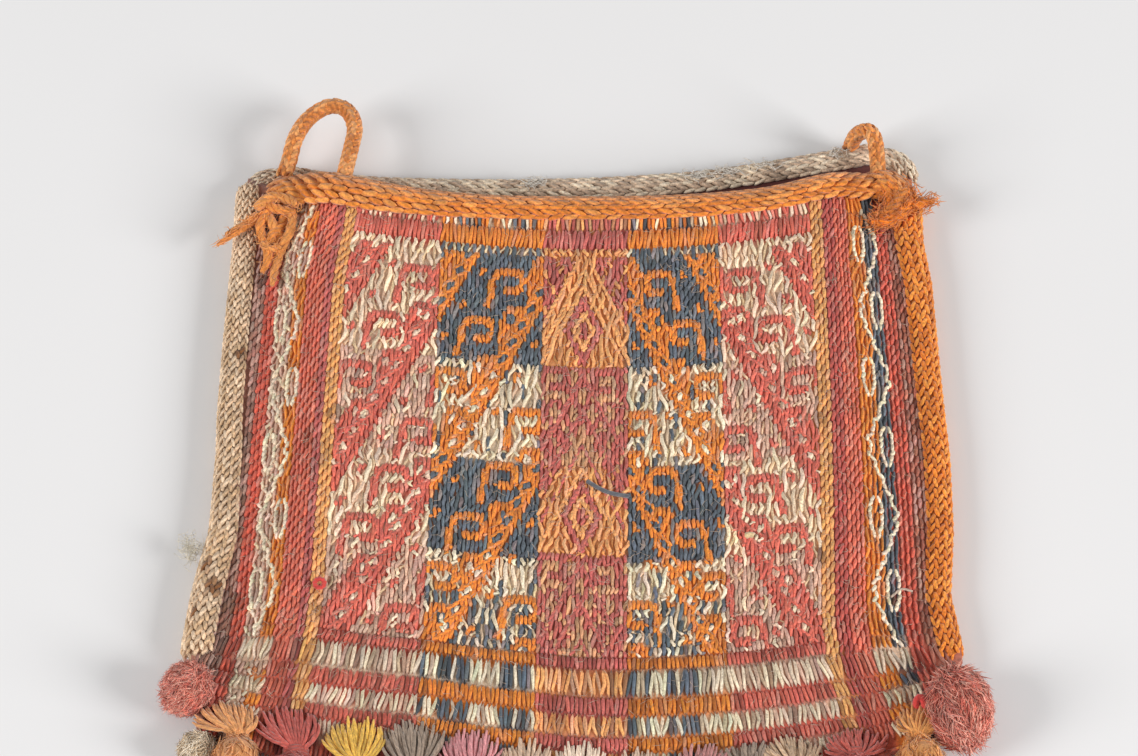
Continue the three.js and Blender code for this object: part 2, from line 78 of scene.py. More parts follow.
def unit(vectors: Array) -> Array:
    """Each row of an array of vectors, at length 1."""
    return vectors / np.maximum(np.linalg.norm(vectors, axis=-1, keepdims=True), 1e-9)


def run_lengths(path: Array) -> Array:
    """Length of a path up to each of its points."""
    return np.concatenate([[0.0], np.cumsum(np.linalg.norm(np.diff(path, axis=0), axis=1))])


def sampled(at: Array, places: Array, table: Array) -> Array:
    """Rows of a table, read at any places along it."""
    return np.stack([np.interp(at, places, column) for column in table.T], axis=1)


def slim(wide: Array | float, long: Array) -> Array:
    """Half sizes of round fibres, from their half widths and half lengths."""
    wide = np.broadcast_to(wide, long.shape)
    return np.stack([wide, long, wide], axis=1)


def ring_faces(rings: int, corners: int, flipped: bool = False) -> list[list[int]]:
    """Faces between neighbouring rings of points.

    Args:
        rings: How many rings there are.
        corners: Points in each ring.
        flipped: Whether the faces turn the other way.

    Returns:
        Four point numbers for each face.
    """
    faces = []
    for ring in range(rings - 1):
        low, high = ring * corners, (ring + 1) * corners
        for corner in range(corners):
            after = (corner + 1) % corners
            face = [low + corner, low + after, high + after, high + corner]
            faces.append(face[:1] + face[:0:-1] if flipped else face)
    return faces


def to_frame(points: Array) -> Array:
    """Local millimetres as metres in the shared frame."""
    return (np.asarray(points, float) + np.array([0.0, SHIFT_Y, 0.0])) * MM


def smooth_path(points: Array, count: int) -> Array:
    """A Catmull-Rom curve through points, resampled evenly.

    Args:
        points: Control points, one per row.
        count: How many points the result has.

    Returns:
        Evenly spaced points along the curve.
    """
    points = np.asarray(points, float)
    ends = np.vstack([2 * points[0] - points[1], points, 2 * points[-1] - points[-2]])
    share = np.linspace(0.0, 1.0, 24, endpoint=False)[:, None]
    runs = []
    for a, b, c, d in zip(ends[:-3], ends[1:-2], ends[2:-1], ends[3:]):
        square, cube = 2 * a - 5 * b + 4 * c - d, 3 * b - a - 3 * c + d
        runs.append(0.5 * (2 * b + (c - a) * share + square * share**2 + cube * share**3))
    fine = np.vstack([*runs, points[-1:]])
    length = run_lengths(fine)
    return sampled(np.linspace(0.0, length[-1], count), length, fine)


def path_frames(path: Array) -> tuple[Array, Array, Array]:
    """Tangents and two turning-free side vectors along a path.

    Args:
        path: Points along the path.

    Returns:
        Tangent, first side and second side for each point.
    """
    tangent = unit(np.gradient(path, axis=0))
    start = np.array([0.0, 0.0, 1.0])
    if abs(tangent[0] @ start) > 0.9:
        start = np.array([1.0, 0.0, 0.0])
    side = unit(start - (start @ tangent[0]) * tangent[0])
    sides = []
    for direction in tangent:
        side = unit(side - (side @ direction) * direction)
        sides.append(side)
    first = np.array(sides)
    return tangent, first, np.cross(tangent, first)


class Yarn(Enum):
    """The dyed yarns of the cloth, each with its lit colour."""

    PURPLE = (185, 131, 112)
    NARROW_RED = (226, 102, 79)
    CORAL = (233, 119, 93)
    ROSE = (201, 103, 94)
    TAN = (242, 173, 103)
    RED = (227, 112, 92)
    CREAM = (255, 228, 196)
    MAUVE = (221, 178, 154)
    ORANGE = (244, 144, 52)
    NAVY = (97, 106, 115)
    WHITE = (255, 238, 206)
    GOLD = (250, 177, 110)
    BROWN = (220, 162, 118)
    MAROON = (204, 106, 95)
    DARK_RED = (199, 90, 78)
    HEATHER = (199, 121, 97)

    @property
    def index(self) -> int:
        """The yarn's place in the list of yarns."""
        return list(Yarn).index(self)


UP = np.array([0.0, 0.0, 1.0])
YARN_COLOURS = np.array([linear(*yarn.value) for yarn in Yarn])


class Lay(Enum):
    """How a stripe's yarn lies on the face of the cloth."""

    GRAIN = 0
    FIGURE = 1
    BAR = 2


Feed = bpy.types.NodeSocket | float | str


@dataclass
class NodeBoard:
    """A node tree that is being wired."""

    tree: bpy.types.NodeTree

    def feed(self, node: bpy.types.Node, feeds: dict[str | int, Feed]) -> None:
        """Gives inputs of a node their values or links.

        Args:
            node: The node.
            feeds: For each input, by name or number, a value or the socket that it comes from.
        """
        for place, source in feeds.items():
            if isinstance(source, bpy.types.NodeSocket):
                self.tree.links.new(source, node.inputs[place])
            else:
                node.inputs[place].default_value = source

    def node(self, kind: str, feeds: dict[str | int, Feed] | None = None, **options: str) -> bpy.types.Node:
        """Adds a node.

        Args:
            kind: Blender's type of node.
            feeds: What its inputs get.
            options: Settings of the node itself.

        Returns:
            The new node.
        """
        made = self.tree.nodes.new(kind)
        for option, value in options.items():
            setattr(made, option, value)
        self.feed(made, feeds or {})
        return made

    def math(self, operation: str, *feeds: Feed) -> bpy.types.NodeSocket:
        """Adds a step of arithmetic and gives its result."""
        return self.node("ShaderNodeMath", dict(enumerate(feeds)), operation=operation).outputs[0]

    def vector(self, operation: str, first: Feed, second: Feed) -> bpy.types.NodeSocket:
        """Adds a step with a vector and a second vector or scale, and gives its result."""
        place = "Scale" if operation == "SCALE" else 1
        return self.node("ShaderNodeVectorMath", {0: first, place: second}, operation=operation).outputs[0]

    def ranged(self, value: Feed, start: float, end: float, low: float, high: float) -> bpy.types.NodeSocket:
        """Adds a map of the range start to end onto low to high and gives its result."""
        names = ("Value", "From Min", "From Max", "To Min", "To Max")
        return self.node("ShaderNodeMapRange", dict(zip(names, (value, start, end, low, high)))).outputs[0]

    def noise(self, scale: float, detail: float) -> bpy.types.NodeSocket:
        """Adds a noise in the piece's own coordinates and gives its value."""
        place = self.node("ShaderNodeTexCoord").outputs["Object"]
        feeds = {"Vector": place, "Scale": scale, "Detail": detail}
        return self.node("ShaderNodeTexNoise", feeds).outputs["Fac"]


@dataclass(frozen=True)
class WoolFinish:
    """A wool surface whose colour comes from the piece's own tint."""

    name: str
    twist: float = 4.0
    # groove_shade: how far the ply grooves darken the colour, as painted shade.
    groove_shade: float = 0.22
    mottle: float = 0.34
    fibre_scale: float = 2600.0
    patch_scale: float = 160.0
    fading: Span = (0.92, 1.06)
    bump: float = 0.5
    bump_depth: float = 0.00012
    ply_relief: float = 0.4
    roughness: float = 0.95
    sheen: float = 0.3

    def material(self) -> bpy.types.Material:
        """Builds the node material, or returns the one already made.

        Returns:
            The finished material.
        """
        made = bpy.data.materials.get(self.name)
        if made:
            return made
        made = bpy.data.materials.new(self.name)
        made.use_nodes = True
        board = NodeBoard(made.node_tree)
        tint = board.node("ShaderNodeAttribute", attribute_name="tint").outputs["Color"]
        own = board.node("ShaderNodeAttribute", attribute_name="own").outputs["Vector"]
        around = board.node("ShaderNodeSeparateXYZ", {0: own}).outputs
        two_ply = board.math("MULTIPLY", board.math("ARCTAN2", around["Z"], around["X"]), 2.0)
        wave = board.math("SINE", board.math("MULTIPLY_ADD", around["Y"], self.twist, two_ply))
        fibres = board.noise(self.fibre_scale, 3.0)
        # The ply wave paints shade into the grooves between plies and a slight painted highlight on their
        # crests.
        shade = board.ranged(wave, -1.0, 1.0, 1.0 - self.groove_shade, 1.0 + 0.3 * self.groove_shade)
        speckle = board.ranged(fibres, 0.25, 0.75, 1.0 - self.mottle, 1.0 + self.mottle)
        fading = board.ranged(board.noise(self.patch_scale, 2.0), 0.3, 0.7, *self.fading)
        light = board.math("MULTIPLY", board.math("MULTIPLY", shade, speckle), fading)
        relief = board.math("MULTIPLY_ADD", wave, self.ply_relief, fibres)
        bump = {"Strength": self.bump, "Distance": self.bump_depth, "Height": relief}
        finish = {
            "Base Color": board.vector("SCALE", tint, light),
            "Normal": board.node("ShaderNodeBump", bump).outputs["Normal"],
            "Roughness": self.roughness,
            "Sheen Weight": self.sheen,
            "Sheen Roughness": 0.6,
            "Specular IOR Level": 0.25,
        }
        board.feed(made.node_tree.nodes["Principled BSDF"], finish)
        return made


CLOTH_FINISH = WoolFinish("cloth_ground_wool", twist=0.0, groove_shade=0.0, mottle=0.3, fibre_scale=1500.0)
FLOAT_FINISH = WoolFinish("warp_float_wool")
EDGING_FINISH = WoolFinish("braided_edging_wool", twist=4.5, groove_shade=0.26)
CORD_FINISH = WoolFinish("plaited_cord_wool", twist=4.5, groove_shade=0.3)
TUFT_FINISH = WoolFinish("loose_tuft_wool", twist=4.0, groove_shade=0.2, mottle=0.25, sheen=0.4)


def set_attribute(mesh: bpy.types.Mesh, name: str, kind: str, values: Array) -> None:
    """Writes one value per vertex as a named attribute.

    Args:
        mesh: The mesh that gets the attribute.
        name: The attribute's name.
        kind: Blender's data type for it.
        values: One row per vertex.
    """
    layer = mesh.attributes.new(name, kind, "POINT")
    key = {"FLOAT_COLOR": "color", "FLOAT_VECTOR": "vector"}.get(kind, "value")
    layer.data.foreach_set(key, np.ascontiguousarray(values, np.float32).ravel())


def with_alpha(colours: Array) -> Array:
    """Linear colours with an opaque fourth channel."""
    return np.hstack([colours, np.ones((len(colours), 1))])


def add_object(name: str, mesh: bpy.types.Mesh) -> Piece:
    """Puts a mesh into the scene at the origin.

    Args:
        name: The piece's name.
        mesh: Its mesh, in the shared frame.

    Returns:
        The new object.
    """
    piece = bpy.data.objects.new(name, mesh)
    bpy.context.scene.collection.objects.link(piece)
    return piece


def dress(piece: Piece, slot: str, *nodes: str) -> Piece:
    """Ties a piece to the body and hides the solids that it stands for.

    Args:
        piece: The finished piece.
        slot: The record's slot for its finish; not used.
        nodes: Solids that the piece stands for.

    Returns:
        The same piece.
    """
    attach(piece, BODY)
    if nodes:
        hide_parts(*nodes)
    LOG.info("%s: %d faces", piece.name, len(piece.data.polygons))
    return piece


@dataclass
class MeshBatch:
    """Closed shapes gathered into one mesh, with a tint and own coordinates at each vertex."""

    TWIST_RATE: ClassVar[float] = 0.29
    points: list[Array] = field(default_factory=list)
    faces: list[list[int]] = field(default_factory=list)
    tints: list[Array] = field(default_factory=list)
    owns: list[Array] = field(default_factory=list)
    count: int = 0

    def add(self, points: Array, faces: list[list[int]], tint: Array, own: Array | None = None) -> None:
        """Adds one closed shape.

        Args:
            points: Local millimetres, one per row.
            faces: Corners of each face, counted from the shape's own first point.
            tint: One linear colour, or one per point.
            own: Coordinates along and around the yarn for each point.
        """
        self.points.append(points)
        self.faces.extend([[corner + self.count for corner in face] for face in faces])
        self.tints.append(np.broadcast_to(tint, points.shape).copy())
        self.owns.append(np.zeros_like(points) if own is None else own)
        self.count += len(points)

    def add_tube(self, path: Array, radius: Array | float, tint: Array, sides: int = 8) -> None:
        """Adds a round yarn along a path, closed at both ends.

        Args:
            path: Centre line in local millimetres.
            radius: One radius, or one per point.
            tint: One linear colour, or one per path point.
            sides: Corners of the section.
        """
        steps = len(path)
        tangent, first, second = path_frames(path)
        radius = np.broadcast_to(radius, (steps,)).reshape(steps, 1, 1)
        angle = 2 * np.pi * np.arange(sides) / sides
        ring = first[:, None] * np.cos(angle)[None, :, None] + second[:, None] * np.sin(angle)[None, :, None]
        body = (path[:, None] + ring * radius).reshape(-1, 3)
        start_tip = path[0] - tangent[0] * radius[0, 0] * 0.5
        end_tip = path[-1] + tangent[-1] * radius[-1, 0] * 0.5
        turns = run_lengths(path) / radius.mean() * self.TWIST_RATE
        around = (np.tile(np.cos(angle), steps), np.repeat(turns, sides), np.tile(np.sin(angle), steps))
        own = np.vstack([np.stack(around, axis=1), [[0.0, 0.0, 0.0], [0.0, turns[-1], 0.0]]])
        faces = ring_faces(steps, sides)
        start, last = steps * sides, (steps - 1) * sides
        for side in range(sides):
            after = (side + 1) % sides
            faces.append([start, after, side])
            faces.append([start + 1, last + side, last + after])
        tint = np.asarray(tint, float)
        if tint.ndim == 2:
            tint = np.vstack([np.repeat(tint, sides, axis=0), tint[0], tint[-1]])
        self.add(np.vstack([body, start_tip, end_tip]), faces, tint, own)

    def add_ball(self, centre: Array, radii: Sizes, tint: Array, columns: int = 16, rows: int = 10) -> None:
        """Adds a closed round core.

        Args:
            centre: Its middle, in local millimetres.
            radii: Half sizes along the three axes.
            tint: Its linear colour.
            columns: Corners round its girth.
            rows: Bands from pole to pole.
        """
        polar = np.pi * np.arange(1, rows) / rows
        angle = 2 * np.pi * np.arange(columns) / columns
        ring = np.stack(
            [
                np.outer(np.sin(polar), np.cos(angle)),
                np.outer(np.cos(polar), np.ones(columns)),
                np.outer(np.sin(polar), -np.sin(angle)),
            ],
            axis=2,
        ).reshape(-1, 3)
        points = np.vstack([ring, [[0, 1, 0], [0, -1, 0]]])
        top, bottom = len(ring), len(ring) + 1
        faces = ring_faces(rows - 1, columns, True)
        last = (rows - 2) * columns
        for column in range(columns):
            after = (column + 1) % columns
            faces.append([top, column, after])
            faces.append([bottom, last + after, last + column])
        self.add(points * np.array(radii) + np.asarray(centre, float), faces, tint)

    def build(self, name: str, finish: WoolFinish) -> Piece:
        """Makes the gathered shapes one object.

        Args:
            name: The piece's name.
            finish: Its wool finish.

        Returns:
            The new object.
        """
        mesh = bpy.data.meshes.new(name)
        mesh.from_pydata(to_frame(np.vstack(self.points)).tolist(), [], self.faces)
        set_attribute(mesh, "tint", "FLOAT_COLOR", with_alpha(np.vstack(self.tints)))
        set_attribute(mesh, "own", "FLOAT_VECTOR", np.vstack(self.owns))
        mesh.polygons.foreach_set("use_smooth", np.ones(len(mesh.polygons), bool))
        mesh.materials.append(finish.material())
        mesh.update()
        return add_object(name, mesh)


@dataclass(frozen=True)
class GrainShape:
    """One short length of yarn, along Y and of unit size, that is repeated over the surface."""

    name: str
    sides: int = 5
    rings: Steps = (-0.62, 0.0, 0.62)
    waist: Steps = (0.82, 1.0, 0.82)

    def object(self) -> Piece:
        """Makes the grain's object, kept out of the scene.

        Returns:
            The object that the node tree repeats.
        """
        made = bpy.data.objects.get(self.name)
        if made:
            return made
        angle = 2 * np.pi * np.arange(self.sides) / self.sides
        points = [(0.0, -1.0, 0.0)]
        for along, wide in zip(self.rings, self.waist):
            points += [(wide * math.cos(a), along, wide * math.sin(a)) for a in angle]
        points.append((0.0, 1.0, 0.0))
        last = len(points) - 1
        faces = []
        for side in range(self.sides):
            after = (side + 1) % self.sides
            faces.append([0, 1 + side, 1 + after])
            for ring in range(len(self.rings) - 1):
                low, high = 1 + ring * self.sides, 1 + (ring + 1) * self.sides
                faces.append([low + side, high + side, high + after, low + after])
            top = 1 + (len(self.rings) - 1) * self.sides
            faces.append([last, top + after, top + side])
        mesh = bpy.data.meshes.new(self.name)
        mesh.from_pydata(points, [], faces)
        mesh.polygons.foreach_set("use_smooth", np.ones(len(faces), bool))
        set_attribute(mesh, "own", "FLOAT_VECTOR", np.array(points))
        chart = mesh.uv_layers.new(name="chart")
        for loop in mesh.loops:
            x, y, z = points[loop.vertex_index]
            round_share = (math.atan2(z, x) / (2 * math.pi)) % 1.0 if abs(y) < 1 else 0.5
            chart.data[loop.index].uv = (0.08 + 0.84 * round_share, 0.5 + 0.42 * y)
        for face in mesh.polygons:
            across = [chart.data[i].uv[0] for i in face.loop_indices]
            if max(across) - min(across) > 0.55:
                for i in face.loop_indices:
                    if chart.data[i].uv[0] < 0.4:
                        chart.data[i].uv[0] = 0.92
        return bpy.data.objects.new(self.name, mesh)


FLOAT_GRAIN = GrainShape("float_grain", rings=(-0.78, -0.28, 0.28, 0.78), waist=(0.66, 0.97, 0.97, 0.66))
STITCH_GRAIN = GrainShape("stitch_grain")
SHORT_GRAIN = GrainShape("short_grain", sides=4, rings=(-0.5, 0.5), waist=(0.96, 0.96))
HAIR_GRAIN = GrainShape("hair_grain", sides=3, rings=(-0.6, 0.0, 0.6), waist=(0.8, 1.0, 0.7))
WISP_GRAIN = GrainShape("wisp_grain", sides=3, rings=(-0.4, 0.4), waist=(1.0, 0.9))


class GrainTree:
    """The node tree that lays grains of yarn on points, bends them and gives each its own bake cell."""

    NAME = "lay_grains"
    INPUTS = {
        "Geometry": "Geometry", "Grain": "Object", "Plumpness": "Float", "Bend": "Float", "Cell": "Float",
        "Finish": "Material",
    }
    BEND_RATE = 3.0

    def __init__(self) -> None:
        """Builds the tree once, or finds it."""
        found = bpy.data.node_groups.get(self.NAME)
        self.tree = found or self._build()
        self.sockets = {
            item.name: item.identifier
            for item in self.tree.interface.items_tree
            if item.in_out == "INPUT"
        }

    def _build(self) -> bpy.types.NodeTree:
        """Makes the tree with its named inputs.

        Returns:
            The finished node tree.
        """
        tree = bpy.data.node_groups.new(self.NAME, "GeometryNodeTree")
        for name, kind in self.INPUTS.items():
            tree.interface.new_socket(name, in_out="INPUT", socket_type="NodeSocket" + kind)
        tree.interface.new_socket("Geometry", in_out="OUTPUT", socket_type="NodeSocketGeometry")
        board = NodeBoard(tree)
        source = board.node("NodeGroupInput").outputs

        def named(name: str, kind: str = "FLOAT_VECTOR") -> bpy.types.NodeSocket:
            """The value of a named attribute."""
            node = board.node("GeometryNodeInputNamedAttribute", {"Name": name}, data_type=kind)
            return node.outputs["Attribute"]

        thick = {"X": source["Plumpness"], "Y": 1.0, "Z": source["Plumpness"]}
        plump = board.node("ShaderNodeCombineXYZ", thick).outputs[0]
        laid = {
            "Points": source["Geometry"],
            "Instance": board.node("GeometryNodeObjectInfo", {"Object": source["Grain"]}).outputs["Geometry"],
            "Rotation": named("turn", "QUATERNION"),
            "Scale": board.vector("MULTIPLY", named("size"), plump),
        }
        lay = board.node("GeometryNodeInstanceOnPoints", laid)
        real = board.node("GeometryNodeRealizeInstances", {"Geometry": lay.outputs[0]})
        along = board.node("ShaderNodeSeparateXYZ", {0: named("own")}).outputs["Y"]
        wave = board.math("SINE", board.math("MULTIPLY_ADD", along, self.BEND_RATE, named("phase", "FLOAT")))
        offset = board.vector("SCALE", named("side"), board.math("MULTIPLY", wave, source["Bend"]))
        bend = board.node("GeometryNodeSetPosition", {"Geometry": real.outputs[0], "Offset": offset})
        cell = board.vector("ADD", named("cell"), board.vector("SCALE", named("chart"), source["Cell"]))
        charted = {"Geometry": bend.outputs[0], "Name": "OFBake", "Value": cell}
        store = board.node("GeometryNodeStoreNamedAttribute", charted, data_type="FLOAT2", domain="CORNER")
        finished = {"Geometry": store.outputs[0], "Material": source["Finish"]}
        finish = board.node("GeometryNodeSetMaterial", finished)
        board.node("NodeGroupOutput", {0: finish.outputs[0]})
        return tree


@dataclass
class GrainField:
    """Grains of yarn laid out by rule, turned into one mesh by the node tree."""

    parts: list[tuple[Array, ...]] = field(default_factory=list)

    def add(
        self,
        centres: Array,
        alongs: Array,
        normals: Array,
        sizes: Array,
        tints: Array,
        bends: Array | float = 0.0,
        phases: Array | float = 0.0,
    ) -> None:
        """Adds a set of grains.

        Args:
            centres: Their middles, in local millimetres.
            alongs: The way each runs.
            normals: The way each faces.
            sizes: Half width, half length and half height of each.
            tints: Linear colour of each.
            bends: How far each curves sideways.
            phases: Where each grain's curve starts.
        """
        count = len(centres)
        vectors = (np.broadcast_to(values, (count, 3)) for values in (centres, alongs, normals, sizes, tints))
        numbers = (np.broadcast_to(values, (count,)) for values in (bends, phases))
        self.parts.append((*vectors, *numbers))

    @staticmethod
    def _quaternions(across: Array, along: Array, normal: Array) -> Array:
        """Rotations, as w x y z, that take X, Y and Z to three given axes."""
        w = np.sqrt(np.maximum(1e-9, 1 + across[:, 0] + along[:, 1] + normal[:, 2])) / 2
        x = np.sqrt(np.maximum(0, 1 + across[:, 0] - along[:, 1] - normal[:, 2])) / 2
        y = np.sqrt(np.maximum(0, 1 - across[:, 0] + along[:, 1] - normal[:, 2])) / 2
        z = np.sqrt(np.maximum(0, 1 - across[:, 0] - along[:, 1] + normal[:, 2])) / 2
        x = np.copysign(x, along[:, 2] - normal[:, 1])
        y = np.copysign(y, normal[:, 0] - across[:, 2])
        z = np.copysign(z, across[:, 1] - along[:, 0])
        turned = np.stack([w, x, y, z], axis=1)
        return turned / np.linalg.norm(turned, axis=1, keepdims=True)

    def build(self, name: str, shape: GrainShape, finish: WoolFinish) -> Piece:
        """Runs the node tree on the gathered grains and keeps the plain mesh.

        Args:
            name: The piece's name.
            shape: The grain that is repeated.
            finish: Its wool finish.

        Returns:
            The new object, with no modifier left.
        """
        gathered = (np.concatenate(values) for values in zip(*self.parts))
        centres, along, normal, sizes, tints, bends, phases = gathered
        along = unit(along)
        normal = unit(normal - (normal * along).sum(1, keepdims=True) * along)
        across = np.cross(along, normal)
        count = len(centres)
        columns = math.ceil(math.sqrt(count))
        place = np.arange(count)
        cells = np.stack([place % columns, place // columns, np.zeros(count)], axis=1) / columns
        mesh = bpy.data.meshes.new(name)
        mesh.from_pydata(to_frame(centres).tolist(), [], [])
        set_attribute(mesh, "turn", "QUATERNION", self._quaternions(across, along, normal))
        set_attribute(mesh, "size", "FLOAT_VECTOR", sizes * MM)
        set_attribute(mesh, "side", "FLOAT_VECTOR", across * bends[:, None] * MM)
        set_attribute(mesh, "phase", "FLOAT", phases)
        set_attribute(mesh, "tint", "FLOAT_COLOR", with_alpha(tints))
        set_attribute(mesh, "cell", "FLOAT_VECTOR", cells)
        piece = add_object(name, mesh)
        tree = GrainTree()
        modifier = piece.modifiers.new("grains", "NODES")
        modifier.node_group = tree.tree
        inputs = {"Grain": shape.object(), "Plumpness": 1.0, "Bend": 1.0, "Cell": 1.0 / columns}
        inputs["Finish"] = finish.material()
        for socket, value in inputs.items():
            modifier[tree.sockets[socket]] = value
        graph = bpy.context.evaluated_depsgraph_get()
        plain = bpy.data.meshes.new_from_object(piece.evaluated_get(graph), depsgraph=graph)
        plain.name = name + "_mesh"
        piece.modifiers.clear()
        piece.data = plain
        bpy.data.meshes.remove(mesh)
        for spare in ("turn", "size", "side", "phase", "cell", "chart"):
            layer = plain.attributes.get(spare)
            if layer:
                plain.attributes.remove(layer)
        return piece


@dataclass(frozen=True)
class ClothForm:
    """The lying bag's shape: a flat sleeve of cloth, open and slightly parted at the mouth."""

    mouth_width: float = 141.0
    foot_width: float = 149.0
    side_length: float = 123.0
    mouth_bow: float = 10.2
    mouth_bend: float = 2.6
    foot_bow: float = FOOT_BOW
    back_bow: float = 6.0
    back_lip: Span = (5.8, 10.5)
    lip_drop: Span = (3.0, 6.0)
    lip_drop_span: float = 8.0
    trim_rises: Steps = (0.0, 14.0, 28.0, 42.0, 58.0, 74.0, 98.0, 108.0, 123.0)
    left_trim: Steps = (-0.6, -0.9, -0.9, 1.3, 2.3, 2.2, 1.9, 1.8, 0.9)
    right_trim: Steps = (-0.4, 0.1, 1.8, 0.1, -0.6, -0.3, -0.1, 1.0, 0.4)
    thickness: float = 1.3
    puff: float = 7.5
    puff_run: float = 15.0
    foot_run: float = 20.0
    seam_band: float = 5.0
    seam_thickness: float = 2.9
    corner_pull: float = 2.0
    corner_start: float = 10.0
    corner_run: float = 4.5
    edge_inset: float = 1.5
    sag_places: Steps = (-1.0, -0.94, -0.67, -0.54, -0.37, -0.06, 0.23, 0.4, 0.57, 0.74, 0.83, 0.95, 1.0)
    sags: Steps = (1.7, 1.7, 3.5, 3.1, 2.9, 2.8, 2.7, 2.7, 1.9, 1.2, 1.0, 0.9, 0.9)
    sag_blur: Steps = (-0.1, -0.05, 0.0, 0.05, 0.1)
    side_lift: float = 1.45
    mouth_lift: float = 1.55

    def outline(self, rise: Array) -> Array:
        """Half the width between straight side edges at a height above the foot."""
        share = np.asarray(rise, float) / self.side_length
        return (self.foot_width + (self.mouth_width - self.foot_width) * share) / 2

    def straight_half(self, rise: Array, side: Array) -> Array:
        """Half the cloth's width at a height above the foot, before the corners draw in."""
        left = np.interp(rise, self.trim_rises, self.left_trim)
        right = np.interp(rise, self.trim_rises, self.right_trim)
        return self.outline(rise) - np.where(np.asarray(side) > 0, right, left) - self.edge_inset

    def half(self, rise: Array, side: Array) -> Array:
        """Half the cloth's width, with its foot corners drawn in."""
        drawn = 1 - smooth(rise, self.corner_start, self.corner_start + self.corner_run)
        return self.straight_half(rise, side) - self.corner_pull * drawn

    def foot_y(self, u: Array) -> Array:
        """The foot's place at a share u across, from -1 to 1."""
        return -self.foot_bow * (1 - np.asarray(u, float) ** 2)

    def front_top(self, u: Array) -> Array:
        """The front wall's mouth edge at a share u across."""
        return self.side_length - self.mouth_bow * (1 - np.abs(np.asarray(u, float)) ** self.mouth_bend)

    def back_top(self, u: Array) -> Array:
        """The back wall's mouth edge at a share u across."""
        u = np.asarray(u, float)
        lip = self.back_lip[0] + (self.back_lip[1] - self.back_lip[0]) * (u + 1) / 2
        inward = (1 - np.abs(u)) * self.half(self.side_length, -1.0)
        drop = np.where(u < 0, *self.lip_drop) * (1 - smooth(inward, 0, self.lip_drop_span))
        sag = np.mean([np.interp(u + near, self.sag_places, self.sags) for near in self.sag_blur], axis=0)
        return self.side_length + lip - drop - sag - self.back_bow * (1 - u * u)

    def parted(self, inward: Array) -> Array:
        """How far the walls have parted at a distance from the side seam."""
        return smooth(inward, self.seam_band, self.seam_band + self.puff_run)

    def back_z(self, inward: Array, below_mouth: Array) -> Array:
        """Height of the back wall's lower face."""
        mouth = 1 - smooth(below_mouth, self.seam_band, self.seam_band + self.puff_run)
        return np.maximum(self.side_lift * (1 - self.parted(inward)), self.mouth_lift * mouth)

    def point(self, u: Array, v: Array, front: bool, depth: Array | float = 0.0) -> Array:
        """Points of the cloth.

        Args:
            u: Share across, from -1 to 1.
            v: Share from the foot to the mouth.
            front: Whether the front wall is meant.
            depth: How far below the wall's outer face.

        Returns:
            Local millimetres, one row per point.
        """
        u, v = np.broadcast_arrays(np.asarray(u, float), np.asarray(v, float))
        half = self.half(v * self.side_length, np.sign(u))
        top = self.front_top(u) if front else self.back_top(u)
        y = self.foot_y(u) + v * (top - self.foot_y(u))
        inward = half * (1 - np.abs(u))
        below_mouth = self.back_top(u) - y
        z = self.back_z(inward, below_mouth)
        if front:
            over_foot = smooth(y - self.foot_y(u), self.seam_band, self.seam_band + self.foot_run)
            laid = self.side_lift * (1 - self.parted(inward)) + self.seam_thickness
            laid = laid + self.puff * self.parted(inward) * over_foot
            z = np.maximum(laid, z + self.seam_thickness) - depth
        else:
            z = z + depth
        return np.stack([u * half, y, z], axis=-1)

    def front_surface(self, x: Array, y: Array) -> Array:
        """Height of the front wall's outer face over places of the plan."""
        x, y = np.broadcast_arrays(np.asarray(x, float), np.asarray(y, float))
        u, v = np.zeros_like(x), np.full_like(x, 0.5)
        for _ in range(12):
            u = np.clip(x / self.half(v * self.side_length, np.sign(x)), -1, 1)
            v = np.clip((y - self.foot_y(u)) / (self.front_top(u) - self.foot_y(u)), 0, 1)
        return self.point(u, v, True)[..., 2]


